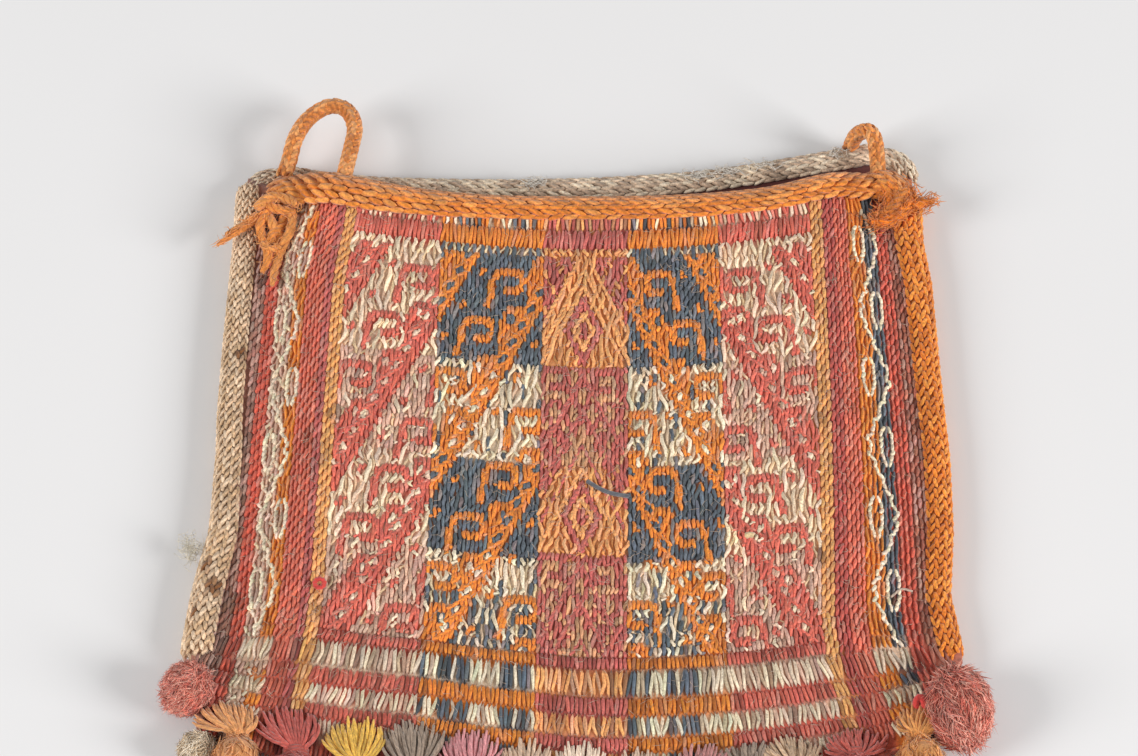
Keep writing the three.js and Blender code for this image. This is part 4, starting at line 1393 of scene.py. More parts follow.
@dataclass
class WovenFace:
    """One wall's face of warp floats, laid by the pattern."""

    grid: WeaveGrid
    pattern: StripePattern
    pitch: float = 0.8
    plain_pitch: float = 0.76
    half_height: float = 0.4
    line_step: float = 1.35
    bare_rim: float = 1.9
    low_rows: Span = (62.0, 66.0)
    edge_share: float = 1 - 2.6 / 69.0
    foot_share: float = 0.99
    stain_colour: Sizes = (112, 66, 34)
    fleck_colour: Sizes = (222, 186, 172)
    # Colour towards which random grains are paled: painted highlights standing in for the yarn's sheen.
    painted_highlight_colour: Sizes = (240, 200, 180)
    under_shade: Sizes = (0.86, 0.76, 0.66)
    dark_shade: Sizes = (0.62, 0.55, 0.52)
    low_shade: Sizes = (0.8, 0.84, 0.85)
    sunk_columns: Span = (64.0, 47.0)
    bright_columns: Span = (66.3, 8.3)
    pale_sway: Span = (0.2, 0.45)
    other_sway: Span = (0.03, 0.2)
    dark_share: float = 0.24
    fleck_share: float = 0.36
    painted_highlight_share: float = 0.16
    unevenness: Sizes = (0.12, 0.2, 0.26)
    stains: tuple[Stain, ...] = (
        Stain(14.0, 37.2, 1.6, 0.6), Stain(18.2, 33.6, 1.1, 0.5), Stain(18.4, 59.6, 1.2, 0.5),
        Stain(112.0, 33.0, 1.3, 0.6), Stain(111.0, 51.3, 1.4, 0.6), Stain(111.2, 41.0, 0.9, 0.5),
        Stain(123.0, 57.2, 1.0, 0.8), Stain(100.6, 6.0, 0.8, 0.6), Stain(104.9, 6.0, 0.7, 0.6),
        Stain(47.4, 5.2, 0.8, 0.5), Stain(2.0, 59.0, 3.0, 0.5), Stain(2.4, 62.5, 2.6, 0.3),
        Stain(127.0, 62.0, 2.2, 0.35), Stain(13.4, 62.4, 1.7, 0.4),
    )

    def stained(self, tints: Array, column: Array, row: Array) -> Array:
        """Tints with the brown marks laid over them."""
        brown = linear(*self.stain_colour)
        for stain in self.stains:
            gap = np.hypot(column - stain.column, (row - stain.row) * 1.5) / stain.reach
            share = (stain.strength * (1 - smooth(gap, 0.4, 1.2)))[:, None]
            tints = tints * (1 - share) + brown * share
        return tints

    def rows_of_floats(self) -> tuple[Array, ...]:
        """Every float of the face.

        Returns:
            Column, first row, last row, yarn number, lay number, parity and column width of each.
        """
        listed = []
        for stripe in self.pattern.stripes:
            pitch = self.plain_pitch if stripe.lay is Lay.GRAIN else self.pitch
            count = round((stripe.end - stripe.start) / pitch)
            wide = (stripe.end - stripe.start) / count
            for index in range(count):
                column = stripe.start + (index + 0.5) * wide
                for start, end, yarn, lay in self.pattern.cuts(column, stripe, index, self.grid.rows - 0.3):
                    listed.append((column, start, end, yarn, lay.value, index % 2, wide))
        return tuple(np.array(values) for values in zip(*listed))

    def tints(self, yarn: Array, rng: Random) -> Array:
        """Colours of yarns, each a little different.

        Args:
            yarn: Yarn numbers.
            rng: The seeded generator.

        Returns:
            One linear colour each.
        """
        count = len(yarn)
        even, mixed, heathered = self.unevenness
        rough = np.full(len(Yarn), even)
        for kind in (Yarn.NAVY, Yarn.PURPLE, Yarn.HEATHER):
            rough[kind.index] = heathered
        for kind in (Yarn.MAUVE, Yarn.BROWN):
            rough[kind.index] = mixed
        tints = YARN_COLOURS[yarn] * (1 + rough[yarn] * rng.normal(0, 1, count)).clip(0.5, 1.6)[:, None]
        mottled = np.isin(yarn, [Yarn.PURPLE.index, Yarn.HEATHER.index])
        light = (mottled & (rng.random(count) < self.fleck_share))[:, None]
        darker = tints * np.where(mottled, 0.89, 1.0)[:, None]
        tints = np.where(light, tints * 0.5 + linear(*self.fleck_colour) * 0.5, darker)
        # Random grains are paled towards a pinkish white as painted highlights of the yarn's sheen.
        paled = np.where(rng.random(count) < self.painted_highlight_share, rng.uniform(0.1, 0.3, count), 0.0)[:, None]
        tints = tints * (1 - paled) + linear(*self.painted_highlight_colour) * paled
        return tints * rng.normal(1.0, 0.03, (count, 3))

    @staticmethod
    def above_floor(centres: Array, direction: Array, sizes: Array) -> Array:
        """Grain centres raised so that no grain reaches below the floor."""
        reach = np.abs(direction[:, 2]) * sizes[:, 1] + np.maximum(sizes[:, 0], sizes[:, 2]) + 0.06
        raised = centres.copy()
        raised[:, 2] = np.maximum(raised[:, 2], reach)
        return raised

    def drawn_lines(self, front: bool, rng: Random) -> tuple[Array, ...]:
        """Grains of the yarns that run over the face as lines.

        Args:
            front: Whether this is the front wall.
            rng: The seeded generator.

        Returns:
            Centres, directions, normals, sizes and tints.
        """
        steps, yarns = [], []
        for path, yarn in self.pattern.lines():
            length = run_lengths(self.grid.place(path[:, 0], path[:, 1], front)[0])
            count = max(1, round(length[-1] / self.line_step))
            at = (np.arange(count) + 0.5) * length[-1] / count
            steps.append(np.hstack([sampled(at + step, length, path) for step in (-0.5, 0, 0.5)]))
            yarns.append(np.full(count, yarn.index))
        near, yarn = np.vstack(steps), np.concatenate(yarns)
        column, row = near[:, 2], near[:, 3]
        point, _, normal, _ = self.grid.frames(column, row, front)
        above, below = (self.grid.place(near[:, at], near[:, at + 1], front)[0] for at in (0, 4))
        along = unit(above - below)
        count = len(column)
        direction = unit(along + np.cross(along, normal) * rng.normal(0, 0.14, count)[:, None])
        plump = rng.uniform(0.9, 1.1, count) * np.where(yarn == Yarn.WHITE.index, 1.28, 1.0)
        spot = np.isin(yarn, [kind.index for kind in (Yarn.CREAM, Yarn.NAVY, Yarn.MAUVE)])
        sizes = np.stack([0.4 * plump, np.where(spot, 0.8, 0.98), 0.36 * plump], axis=1)
        lift = np.where(spot, 0.16, 0.1)[:, None] if front else -self.half_height
        tints = self.tints(yarn, rng)
        if front:
            tints = self.stained(tints, column, row)
        return self.above_floor(point + normal * lift, direction, sizes), direction, normal, sizes, tints

    def build(self, front: bool) -> list[Piece]:
        """Builds the face as plain grains, two halves of figured floats, and bars with drawn lines.

        Args:
            front: Whether this is the front wall.

        Returns:
            The face's pieces.
        """
        rng = np.random.default_rng(11 if front else 12)
        floats = self.rows_of_floats()
        middle = (floats[1] + floats[2]) / 2
        point, along, normal, u = self.grid.frames(floats[0], middle, front)
        reach = np.where(middle > self.low_rows[1], self.foot_share, self.edge_share)
        keep = (np.abs(u) < reach) & ((middle > self.bare_rim) | (not front))
        column, start, end, yarn, lay, parity, wide = (values[keep] for values in floats)
        middle, point, along, normal = (values[keep] for values in (middle, point, along, normal))
        count = len(column)
        first, last = (self.grid.place(column, row, front)[0] for row in (start, end))
        length = np.linalg.norm(first - last, axis=1)
        across = np.cross(along, normal)
        aside = np.abs(column - self.pattern.CENTRE)
        left = column < self.pattern.CENTRE
        grain, figure, bar = (lay == kind.value for kind in (Lay.GRAIN, Lay.FIGURE, Lay.BAR))
        pale = np.isin(yarn, [kind.index for kind in (Yarn.CREAM, Yarn.WHITE, Yarn.GOLD)])
        centre, reach = self.sunk_columns
        # Pale floats on odd columns lie lower, and under_shade darkens them as painted shade.
        under = figure & pale & (parity == 1) & (np.abs(column - centre) < reach)
        slant = np.where(grain, 0.1, 0.06) + rng.normal(0, 0.1, count)
        slant = slant + np.where(figure & pale, 0.22 * np.sin(column * 1.3 + middle * 0.9), 0.0)
        turned = np.where(column > self.pattern.CENTRE, -1.0, 1.0)
        leant = turned * 0.14 * smooth(aside, 4, 46) + rng.normal(0, 0.09, count)
        direction = unit(along + across * np.where(bar, leant, slant)[:, None])
        plump = rng.uniform(0.88, 1.1, count)
        width = wide * 0.53 * plump * np.where(under, 0.86, np.where(figure & pale, 1.06, 1.0))
        width = width * np.where(grain, 1.06, 1.0)
        sizes = np.stack([width, length * np.where(bar, 0.54, 0.6), self.half_height * plump], axis=1)
        lift = rng.normal(0, 0.04, count) + np.where(under, -0.14, np.where(figure & pale, 0.1, 0.02))
        if not front:
            lift = np.full(count, -self.half_height - 0.06)
        centres = self.above_floor(point + normal * lift[:, None], direction, sizes)
        sway = np.where(pale, rng.uniform(*self.pale_sway, count), rng.uniform(*self.other_sway, count))
        bends = np.where(figure | bar, np.where(bar, 0.8, 1.0) * sway * rng.choice([-1, 1], count), 0.06)
        phases = np.where(rng.random(count) < 0.6, 0.0, rng.uniform(0, 1.6, count))
        tints = self.tints(yarn, rng)
        dark = bar & (rng.random(count) < self.dark_share)
        centre, reach = self.bright_columns
        low = bar & (middle > self.low_rows[0]) & (np.abs(column - centre) > reach)
        for shaded, shade in ((under, self.under_shade), (dark, self.dark_shade), (low, self.low_shade)):
            tints = np.where(shaded[:, None], tints * np.array(shade), tints)
        if front:
            tints = self.stained(tints, column, middle)
        long, short = (FLOAT_GRAIN, STITCH_GRAIN) if front else (SHORT_GRAIN, SHORT_GRAIN)
        parts = {
            "plain_weave": (grain, short),
            "left_figures": (figure & left, long),
            "right_figures": (figure & ~left, long),
            "bars": (bar, short),
        }
        pieces = []
        for name, (part, shape) in parts.items():
            grains = GrainField()
            laid = (centres, direction, normal, sizes, tints, bends, phases)
            grains.add(*(values[part] for values in laid))
            if name == "bars":
                grains.add(*self.drawn_lines(front, rng), 0.1)
            made = grains.build(f"{'front' if front else 'back'}_{name}", shape, FLOAT_FINISH)
            pieces.append(dress(made, "striped_cloth"))
        return pieces


@dataclass
class BagCloth:
    """The bag's cloth: a closed sleeve of two walls with its woven faces."""

    form: ClothForm
    grid: WeaveGrid
    pattern: StripePattern
    inset: float = 0.16
    columns: int = 101
    flat: Span = (0.143, 0.262)
    # The ground under the floats is painted shade: the stripe's yarn darkened.
    gap_painted_shade: Sizes = (0.7, 0.62, 0.6)
    # The inside is dark red cloth, darkened further as painted shade within the sleeve.
    shaded_lining: Sizes = (96, 40, 34)
    inner_rises: Steps = (123.0, 119.0, 115.5, 108.0, 98.0, 60.0, 30.0, 16.0, 5.4)
    half_width: float = 69.0

    def _painted_gap_tint(self, points: Array, v: float) -> Array:
        """The ground between floats, by stripe: each stripe's yarn darkened as painted shade in the gaps."""
        column, row = self.grid.found(points, v)
        yarns = [int(self.pattern.yarns(at, row, self.pattern.stripe_at(float(at)))) for at in column]
        return YARN_COLOURS[yarns] * np.array(self.gap_painted_shade)

    def shell(self) -> Piece:
        """Builds the sleeve: out from foot to mouth, over the rim and down inside.

        Returns:
            The sleeve's object.
        """
        u = np.linspace(-1, 1, self.columns)
        squashes = {0.0: 0.3, 0.004: 0.62, 0.012: 0.88}
        rings, tints = [], []
        for v in [*squashes, *np.linspace(0.025, 1.0, 58)]:
            front, back = (self.form.point(u, np.full_like(u, v), wall, self.inset) for wall in (True, False))
            middle = (front[:, 2] + back[:, 2]) / 2
            for wall in (front, back):
                wall[:, 2] = middle + (wall[:, 2] - middle) * squashes.get(v, 1.0)
            tint = self._painted_gap_tint(front, v)
            rings.append(np.vstack([front, back[::-1]]))
            tints.append(np.vstack([tint, tint[::-1]]))
        inner = u * (1 - self.form.seam_band / self.half_width)
        size = 2 * self.columns
        for rise in self.inner_rises:
            v = np.full_like(u, rise / self.form.side_length)
            front, back = (self.form.point(inner, v, wall, self.form.thickness) for wall in (True, False))
            rings.append(np.vstack([front, back[::-1]]))
            tints.append(np.broadcast_to(linear(*self.shaded_lining), (size, 3)))
        faces = ring_faces(len(rings), size)
        top = (len(rings) - 1) * size
        for corner in range(self.columns - 1):
            faces.append([corner, size - 1 - corner, size - 2 - corner, corner + 1])
            faces.append([top + corner, top + corner + 1, top + size - 2 - corner, top + size - 1 - corner])
        batch = MeshBatch()
        batch.add(np.vstack(rings), faces, np.vstack(tints))
        return batch.build("cloth_sleeve", CLOTH_FINISH)

    def build(self) -> list[Piece]:
        """Builds the sleeve and both faces.

        Returns:
            The sleeve first, then the faces' pieces.
        """
        sleeve = dress(self.shell(), "striped_cloth", "bag_cloth")
        face = WovenFace(self.grid, self.pattern)
        return [sleeve, *face.build(True), *face.build(False)]


@dataclass(frozen=True)
class EdgeMark:
    """A brown mark on an edging: its place along, its share round, and its reach."""

    along: float
    round: float
    reach: float


@dataclass
class Edging:
    """A braided edging: a slotted tube along an edge, covered in slanting stitches."""

    name: str
    node: str
    slot: str
    width: float
    depth: float
    cloth: float
    colours: tuple[Sizes, ...]
    seed: int
    paled: Sizes | None = None
    # A lighter colour blended onto the edging's far end, as painted light.
    painted_light_top: Sizes | None = None
    painted_light_from: float = 1e3
    skin: float = 0.42
    stitch: float = 2.5
    row: float = 0.74
    slant: float = 0.15
    marks: tuple[EdgeMark, ...] = ()
    girth: Steps = (1.0, 1.0)
    outset: Steps = (0.0, 0.0)
    # ground: the tube's share of the first yarn's colour; the darker tube is painted shade between the
    # stitches.
    ground: float = 0.62
    overhang: float = 1.5
    rounding: float = 2.4
    mark_colour: Sizes = (134, 80, 30)

    @property
    def opening(self) -> float:
        """Half the height of the slot for the cloth."""
        return self.cloth / 2 + 0.3

    @property
    def middle(self) -> Array:
        """The section's middle, in out and up axes."""
        return np.array([self.overhang - self.width / 2, 0.0])

    def section(self, count: int, grow: float) -> Array:
        """Corners of the outer arc, in out and up axes, from the upper lip to the lower one."""
        lip = math.pi - math.asin(self.opening / (self.depth / 2))
        angle = np.linspace(lip, -lip, count)
        out = self.middle[0] + (self.width / 2 + grow) * np.cos(angle)
        return np.stack([out, (self.depth / 2 + grow) * np.sin(angle)], axis=1)

    def build(self, origins: Array) -> list[Piece]:
        """Builds the tube and its stitches.

        Args:
            origins: Places along the cloth's edge, with the cloth on their right.

        Returns:
            The tube and the stitches on it.
        """
        yarns = np.array([linear(*colour) for colour in self.colours])
        along = unit(np.gradient(origins, axis=0) * np.array([1.0, 1.0, 0.0]))
        outs = np.stack([-along[:, 1], along[:, 0], np.zeros(len(along))], axis=1)
        length = run_lengths(origins)
        ends = np.minimum(length, length[-1] - length)
        full = np.sqrt(np.clip(1 - (1 - np.clip(ends / self.rounding, 0, 1)) ** 2, 0.16, 1))
        share = length / length[-1]
        full = full * np.interp(share, np.linspace(0, 1, len(self.girth)), self.girth)
        shift = np.interp(share, np.linspace(0, 1, len(self.outset)), self.outset)
        origins = origins + outs * shift[:, None]
        closed = np.vstack([self.section(17, -self.skin), [[0.3, -self.opening], [0.3, self.opening]]])
        rings = self.middle + (closed - self.middle)[None] * full[:, None, None]
        points = origins[:, None] + outs[:, None] * rings[..., :1] + UP * rings[..., 1:]
        points[..., 2] = np.maximum(points[..., 2], 0.3)
        corners = len(closed)
        faces = ring_faces(len(origins), corners, True)
        last = (len(origins) - 1) * corners
        faces += [list(range(corners)), [last + corner for corner in range(corners)][::-1]]
        batch = MeshBatch()
        # The tube is the first yarn darkened: painted shade in the gaps between stitches.
        batch.add(points.reshape(-1, 3), faces, yarns[0] * self.ground)
        tube = dress(batch.build(self.name, EDGING_FINISH), self.slot, self.node)
        stitches = self._stitches(np.hstack([origins, outs, along, full[:, None]]), length, yarns)
        return [tube, dress(stitches.build(self.name + "_stitches", STITCH_GRAIN, EDGING_FINISH), self.slot)]

    def _tints(self, places: Array, share: float, yarns: Array, rng: Random) -> Array:
        """Colours of one lane's stitches.

        Args:
            places: How far along each stitch is.
            share: The lane's place round the tube.
            yarns: Linear colours that the stitches take.
            rng: The seeded generator.

        Returns:
            One linear colour per stitch.
        """
        tint = yarns[rng.integers(0, len(yarns), len(places))]
        if self.paled:
            tint = tint + (linear(*self.paled) - tint) * float(smooth(share, 0.16, 0.42))
        # Towards the end the stitches blend to a lighter colour: painted light that offsets the knot's shade
        # on the left edging's top.
        if self.painted_light_top:
            painted_light_share = smooth(places, self.painted_light_from, self.painted_light_from + 7)[:, None]
            tint = tint + (linear(*self.painted_light_top) - tint) * painted_light_share
        tint = tint * rng.normal(1.0, 0.1, (len(places), 1)).clip(0.7, 1.3)
        for mark in self.marks:
            gap = np.hypot(places - mark.along, (share - mark.round) * 16) / mark.reach
            brown = (0.95 * (1 - smooth(gap, 0.6, 1.2)))[:, None]
            tint = tint * (1 - brown) + linear(*self.mark_colour) * brown
        return tint

    def _stitches(self, table: Array, length: Array, yarns: Array) -> GrainField:
        """Lays slanting stitches round and along the tube.

        Args:
            table: Place on the edge, way out, way along and fullness at each step.
            length: Length of the edge up to each step.
            yarns: Linear colours that the stitches take.

        Returns:
            The field of stitches.
        """
        rng = np.random.default_rng(self.seed)
        fine = self.section(121, -0.1)
        run = run_lengths(fine)
        lanes = max(6, round(run[-1] / self.row))
        grains = GrainField()
        for lane in range(lanes):
            share = (lane + 0.5) / lanes
            spot = sampled([share * run[-1]], run, fine)[0]
            face = unit((spot - self.middle) / np.array([self.width, self.depth]) ** 2)
            places = np.arange(0.2 + (lane % 2) * self.stitch / 2, length[-1], self.stitch)
            count = len(places)
            places = places + rng.normal(0, 0.12, count)
            row = sampled(places, length, table)
            origin, out, way, full = row[:, :3], unit(row[:, 3:6]), unit(row[:, 6:9]), row[:, 9:]
            normal = unit(out * face[0] + UP * face[1])
            at = self.middle + (spot - self.middle) * full
            centre = origin + out * at[:, :1] + UP * at[:, 1:]
            centre[:, 2] = np.maximum(centre[:, 2], 0.66)
            lean = (self.slant if lane % 2 else -self.slant) + rng.normal(0, 0.07, count)
            wide = self.row * rng.uniform(0.5, 0.62, count)
            long = self.stitch * rng.uniform(0.58, 0.67, count)
            sizes = np.stack([wide, long, np.full(count, 0.44)], axis=1)
            sizes = sizes * np.clip(full, 0.6, [[1.3, 1.0, 1.1]])
            tint = self._tints(places, share, yarns, rng)
            grains.add(centre, way + np.cross(way, normal) * lean[:, None], normal, sizes, tint, 0.08)
        return grains


@dataclass
class Edgings:
    """The four braided edgings of the bag."""

    form: ClothForm
    front_reach: float = 0.862
    back_reach: float = 0.923

    def side(self, side: int) -> Array:
        """Places along a side edge, up the left side or down the right one."""
        start = self.form.corner_start + self.form.corner_run
        end = float(self.form.back_top(float(side))) - (2.0 if side < 0 else 7.0)
        rise = np.linspace(start, end, 70)
        half = self.form.half(np.maximum(start, np.minimum(rise, self.form.side_length)), side)
        height = self.form.side_lift + self.form.seam_thickness / 2
        origins = np.stack([side * half, rise, np.full_like(rise, height)], axis=1)
        return origins[::-1] if side > 0 else origins

    def mouth(self, front: bool) -> Array:
        """Places along a mouth edge, carried round both corners.

        Args:
            front: Whether the front wall is meant.

        Returns:
            Places from left to right.
        """
        reach = self.front_reach if front else self.back_reach
        origins = self.form.point(np.linspace(-reach, reach, 40), 1.0, front, self.form.thickness / 2)
        if front:
            share = np.linspace(-1, 1, 40)
            origins[:, 1] += 0.2 * (1 - smooth(share, -0.95, -0.6)) + 1.2 * smooth(share, 0.6, 0.95)
        first, last = origins[0], origins[-1]
        if front:
            left = [first + [-4.4, -2.0, 0.5], first + [-2.6, -0.4, 0.3]]
            ends = ([3.0, 0.6, 0.6], [5.8, -0.6, 0.8], [7.6, -3.4, 0.4], [8.3, -6.8, -0.2])
            right = [last + end for end in ends]
        else:
            left = [first + [-5.6, -5.0, 0.7], first + [-4.6, -2.2, 0.7], first + [-2.2, -0.4, 0.4]]
            right = [last + [2.4, -0.8, 0.4], last + [4.6, -3.4, 0.7], last + [5.6, -7.0, 0.7]]
        return smooth_path(np.vstack([left, origins, right]), 120)

    def build(self) -> list[Piece]:
        """Builds all four edgings.

        Returns:
            Their tubes and stitches.
        """
        seam = self.form.seam_thickness
        cream = ((234, 200, 164), (218, 182, 142), (242, 212, 178))
        orange = ((246, 144, 42), (230, 127, 33), (250, 158, 60))
        front = ((238, 142, 46), (228, 130, 40), (244, 158, 74))
        grey = ((230, 204, 176), (246, 226, 198), (204, 176, 150))
        left_spots = ((19.3, 0.3, 1.4), (14.6, 0.14, 1.9), (66.5, 0.1, 1.4), (9.0, 0.3, 1.1))
        left_marks = tuple(EdgeMark(*spot) for spot in left_spots)
        left = Edging(
            "left_edging", "left_side_edging", "cream_edging", 6.4, 5.4, seam, cream, 21,
            painted_light_top=(250, 216, 180), painted_light_from=84.0, stitch=2.0, row=0.84, slant=0.32, marks=left_marks,
            girth=(1.1, 1.12, 0.95, 0.9, 0.9, 0.88, 0.86),
            outset=(0.4, -0.67, -0.5, 0.8, 1.65, 1.75, 1.7, 1.6, 1.3), ground=0.74,
        )
        right = Edging(
            "right_edging", "right_side_edging", "orange_edging", 6.4, 5.4, seam, orange, 22,
            marks=(EdgeMark(50.0, 0.9, 1.0),), stitch=2.2, row=0.92, slant=0.34,
            girth=(1.1, 1.0, 0.95, 0.92, 0.88), outset=(0.0, -0.25, -0.45, -0.55, -0.55),
        )
        fore = Edging(
            "front_edging", "front_mouth_edging", "orange_edging", 5.8, 5.0, 1.3, front, 23,
            paled=(220, 150, 98), stitch=2.9, row=1.04, slant=0.16,
            girth=(1.2, 1.42, 1.34, 1.12, 1.02, 1.0, 1.0, 1.0, 1.0, 1.0, 1.06, 1.2, 1.2),
        )
        rear = Edging(
            "back_edging", "back_mouth_edging", "grey_edging", 5.6, 4.0, 1.3, grey, 24,
            stitch=2.4, row=0.86, slant=0.22,
            girth=(0.64, 0.94, 1.0, 1.0, 1.0, 1.0, 1.0, 1.0, 1.0, 1.0, 1.0, 1.0),
        )
        pieces = left.build(self.side(-1)) + right.build(self.side(1))
        return pieces + fore.build(self.mouth(True)) + rear.build(self.mouth(False))


@dataclass
class HangingLoops:
    """The two plaited loops at the mouth's corners."""

    form: ClothForm
    diameter: float = 3.4
    core: float = 2.0
    inset: float = 8.0
    left_width: float = 13.5
    left_reach: float = 16.4
    left_bend: tuple[Sizes, ...] = (
        (0.13, 0.48, 0.35), (0.29, 0.77, 0.44), (0.53, 0.96, 0.5), (0.75, 1.0, 0.53), (0.94, 0.88, 0.47),
        (1.03, 0.62, 0.3), (1.0, 0.34, 0.1),
    )
    right_bend: tuple[Sizes, ...] = (
        (1.0, -7.4, 9.2), (0.6, -5.0, 10.4), (-0.5, -3.0, 10.4), (-1.9, -2.0, 8.6), (-3.0, -1.7, 6.2),
        (-3.8, -2.3, 3.4),
    )
    over_edge: float = 1.8
    back_edging: float = 2.12
    clear: float = 0.6
    # The core is the plait's orange darkened: painted shade in the gaps between stitches.
    core_shade_colour: Sizes = (170, 96, 42)
    yarns: tuple[Sizes, ...] = ((230, 146, 72), (216, 130, 58), (238, 164, 96))
    lanes: int = 8
    stitch: Sizes = (0.68, 1.45, 0.5)
    stitch_step: float = 1.8
    slant: float = 0.42
    shortest_cord: float = 0.03

    @property
    def mouth_half(self) -> float:
        """Half the cloth's width at the mouth."""
        return float(self.form.half(self.form.side_length, -1.0))

    def rim(self, x: float, front: bool) -> Array:
        """The middle of a wall's mouth edge at x."""
        return self.form.point(x / self.mouth_half, 1.0, front, self.form.thickness / 2)

    def start(self, x: float) -> Array:
        """Where a loop leaves the front edging at x."""
        wall, rear = self.rim(x, True), self.rim(x, False)[2] + self.back_edging
        return np.array([x, wall[1] + self.over_edge, max(wall[2], rear + self.clear + self.diameter / 2)])

    def left_path(self) -> Array:
        """The left loop's centre line."""
        from_x = self.inset - self.mouth_half
        start, end = self.start(from_x - 0.4), self.start(from_x + 0.89 * self.left_width)
        height = max(start[2], end[2])
        points = [start, [from_x + 0.04 * self.left_width, start[1] + 0.2 * self.left_reach, start[2] + 0.39]]
        for across, along, drop in self.left_bend:
            x, y = from_x + across * self.left_width, start[1] + along * self.left_reach
            points.append([x, y, height - drop * self.diameter])
        return smooth_path(np.array([*points, end]), 60)

    def right_path(self) -> Array:
        """The right loop's centre line, up from the front edging and down behind the back one."""
        from_x = self.mouth_half - self.inset
        outer = self.rim(from_x - 4.4, False)[1] + self.over_edge + self.diameter / 2
        foot = self.rim(from_x + 1.2, True) + np.array([0.0, 0.6, 0.8])
        return smooth_path(np.array([foot, *([from_x + x, outer + y, z] for x, y, z in self.right_bend)]), 44)

    def plait(self, path: Array, seed: int) -> GrainField:
        """Slanting stitches round a loop.

        Args:
            path: The loop's centre line.
            seed: Seed of the yarn's unevenness.

        Returns:
            The stitches.
        """
        rng = np.random.default_rng(seed)
        tangent, first, second = path_frames(path)
        length = run_lengths(path)
        yarns = np.array([linear(*colour) for colour in self.yarns])
        grains = GrainField()
        for lane in range(self.lanes):
            angle = 2 * math.pi * lane / self.lanes
            places = np.arange(0.5 + (lane % 2) * self.stitch_step / 2, length[-1] - 0.4, self.stitch_step)
            count = len(places)
            index = np.interp(places, length, np.arange(len(path)))
            near = np.clip(np.round(index).astype(int), 0, len(path) - 1)
            normal = first[near] * math.cos(angle) + second[near] * math.sin(angle)
            slant = np.cross(tangent[near], normal) * (self.slant if lane % 2 else -self.slant)
            tint = yarns[rng.integers(0, len(yarns), count)] * rng.normal(1, 0.09, (count, 1))
            centre = sampled(places, length, path) + normal * (self.diameter / 2 - 0.46)
            grains.add(centre, tangent[near] + slant, normal, np.array(self.stitch), tint, 0.05)
        return grains

    def build(self) -> list[Piece]:
        """Builds both loops.

        Returns:
            Cores and plaits of the loops.
        """
        pieces = []
        for side, path, seed in (("left", self.left_path(), 31), ("right", self.right_path(), 32)):
            batch = MeshBatch()
            batch.add_tube(path, self.core / 2, linear(*self.core_shade_colour), 10)
            core = dress(batch.build(f"{side}_loop_cord", CORD_FINISH), "orange_cord", f"{side}_hanging_loop")
            stitches = self.plait(path, seed).build(f"{side}_loop_plait", STITCH_GRAIN, CORD_FINISH)
            plait = dress(stitches, "orange_cord")
            pieces += [core, plait]
        return pieces


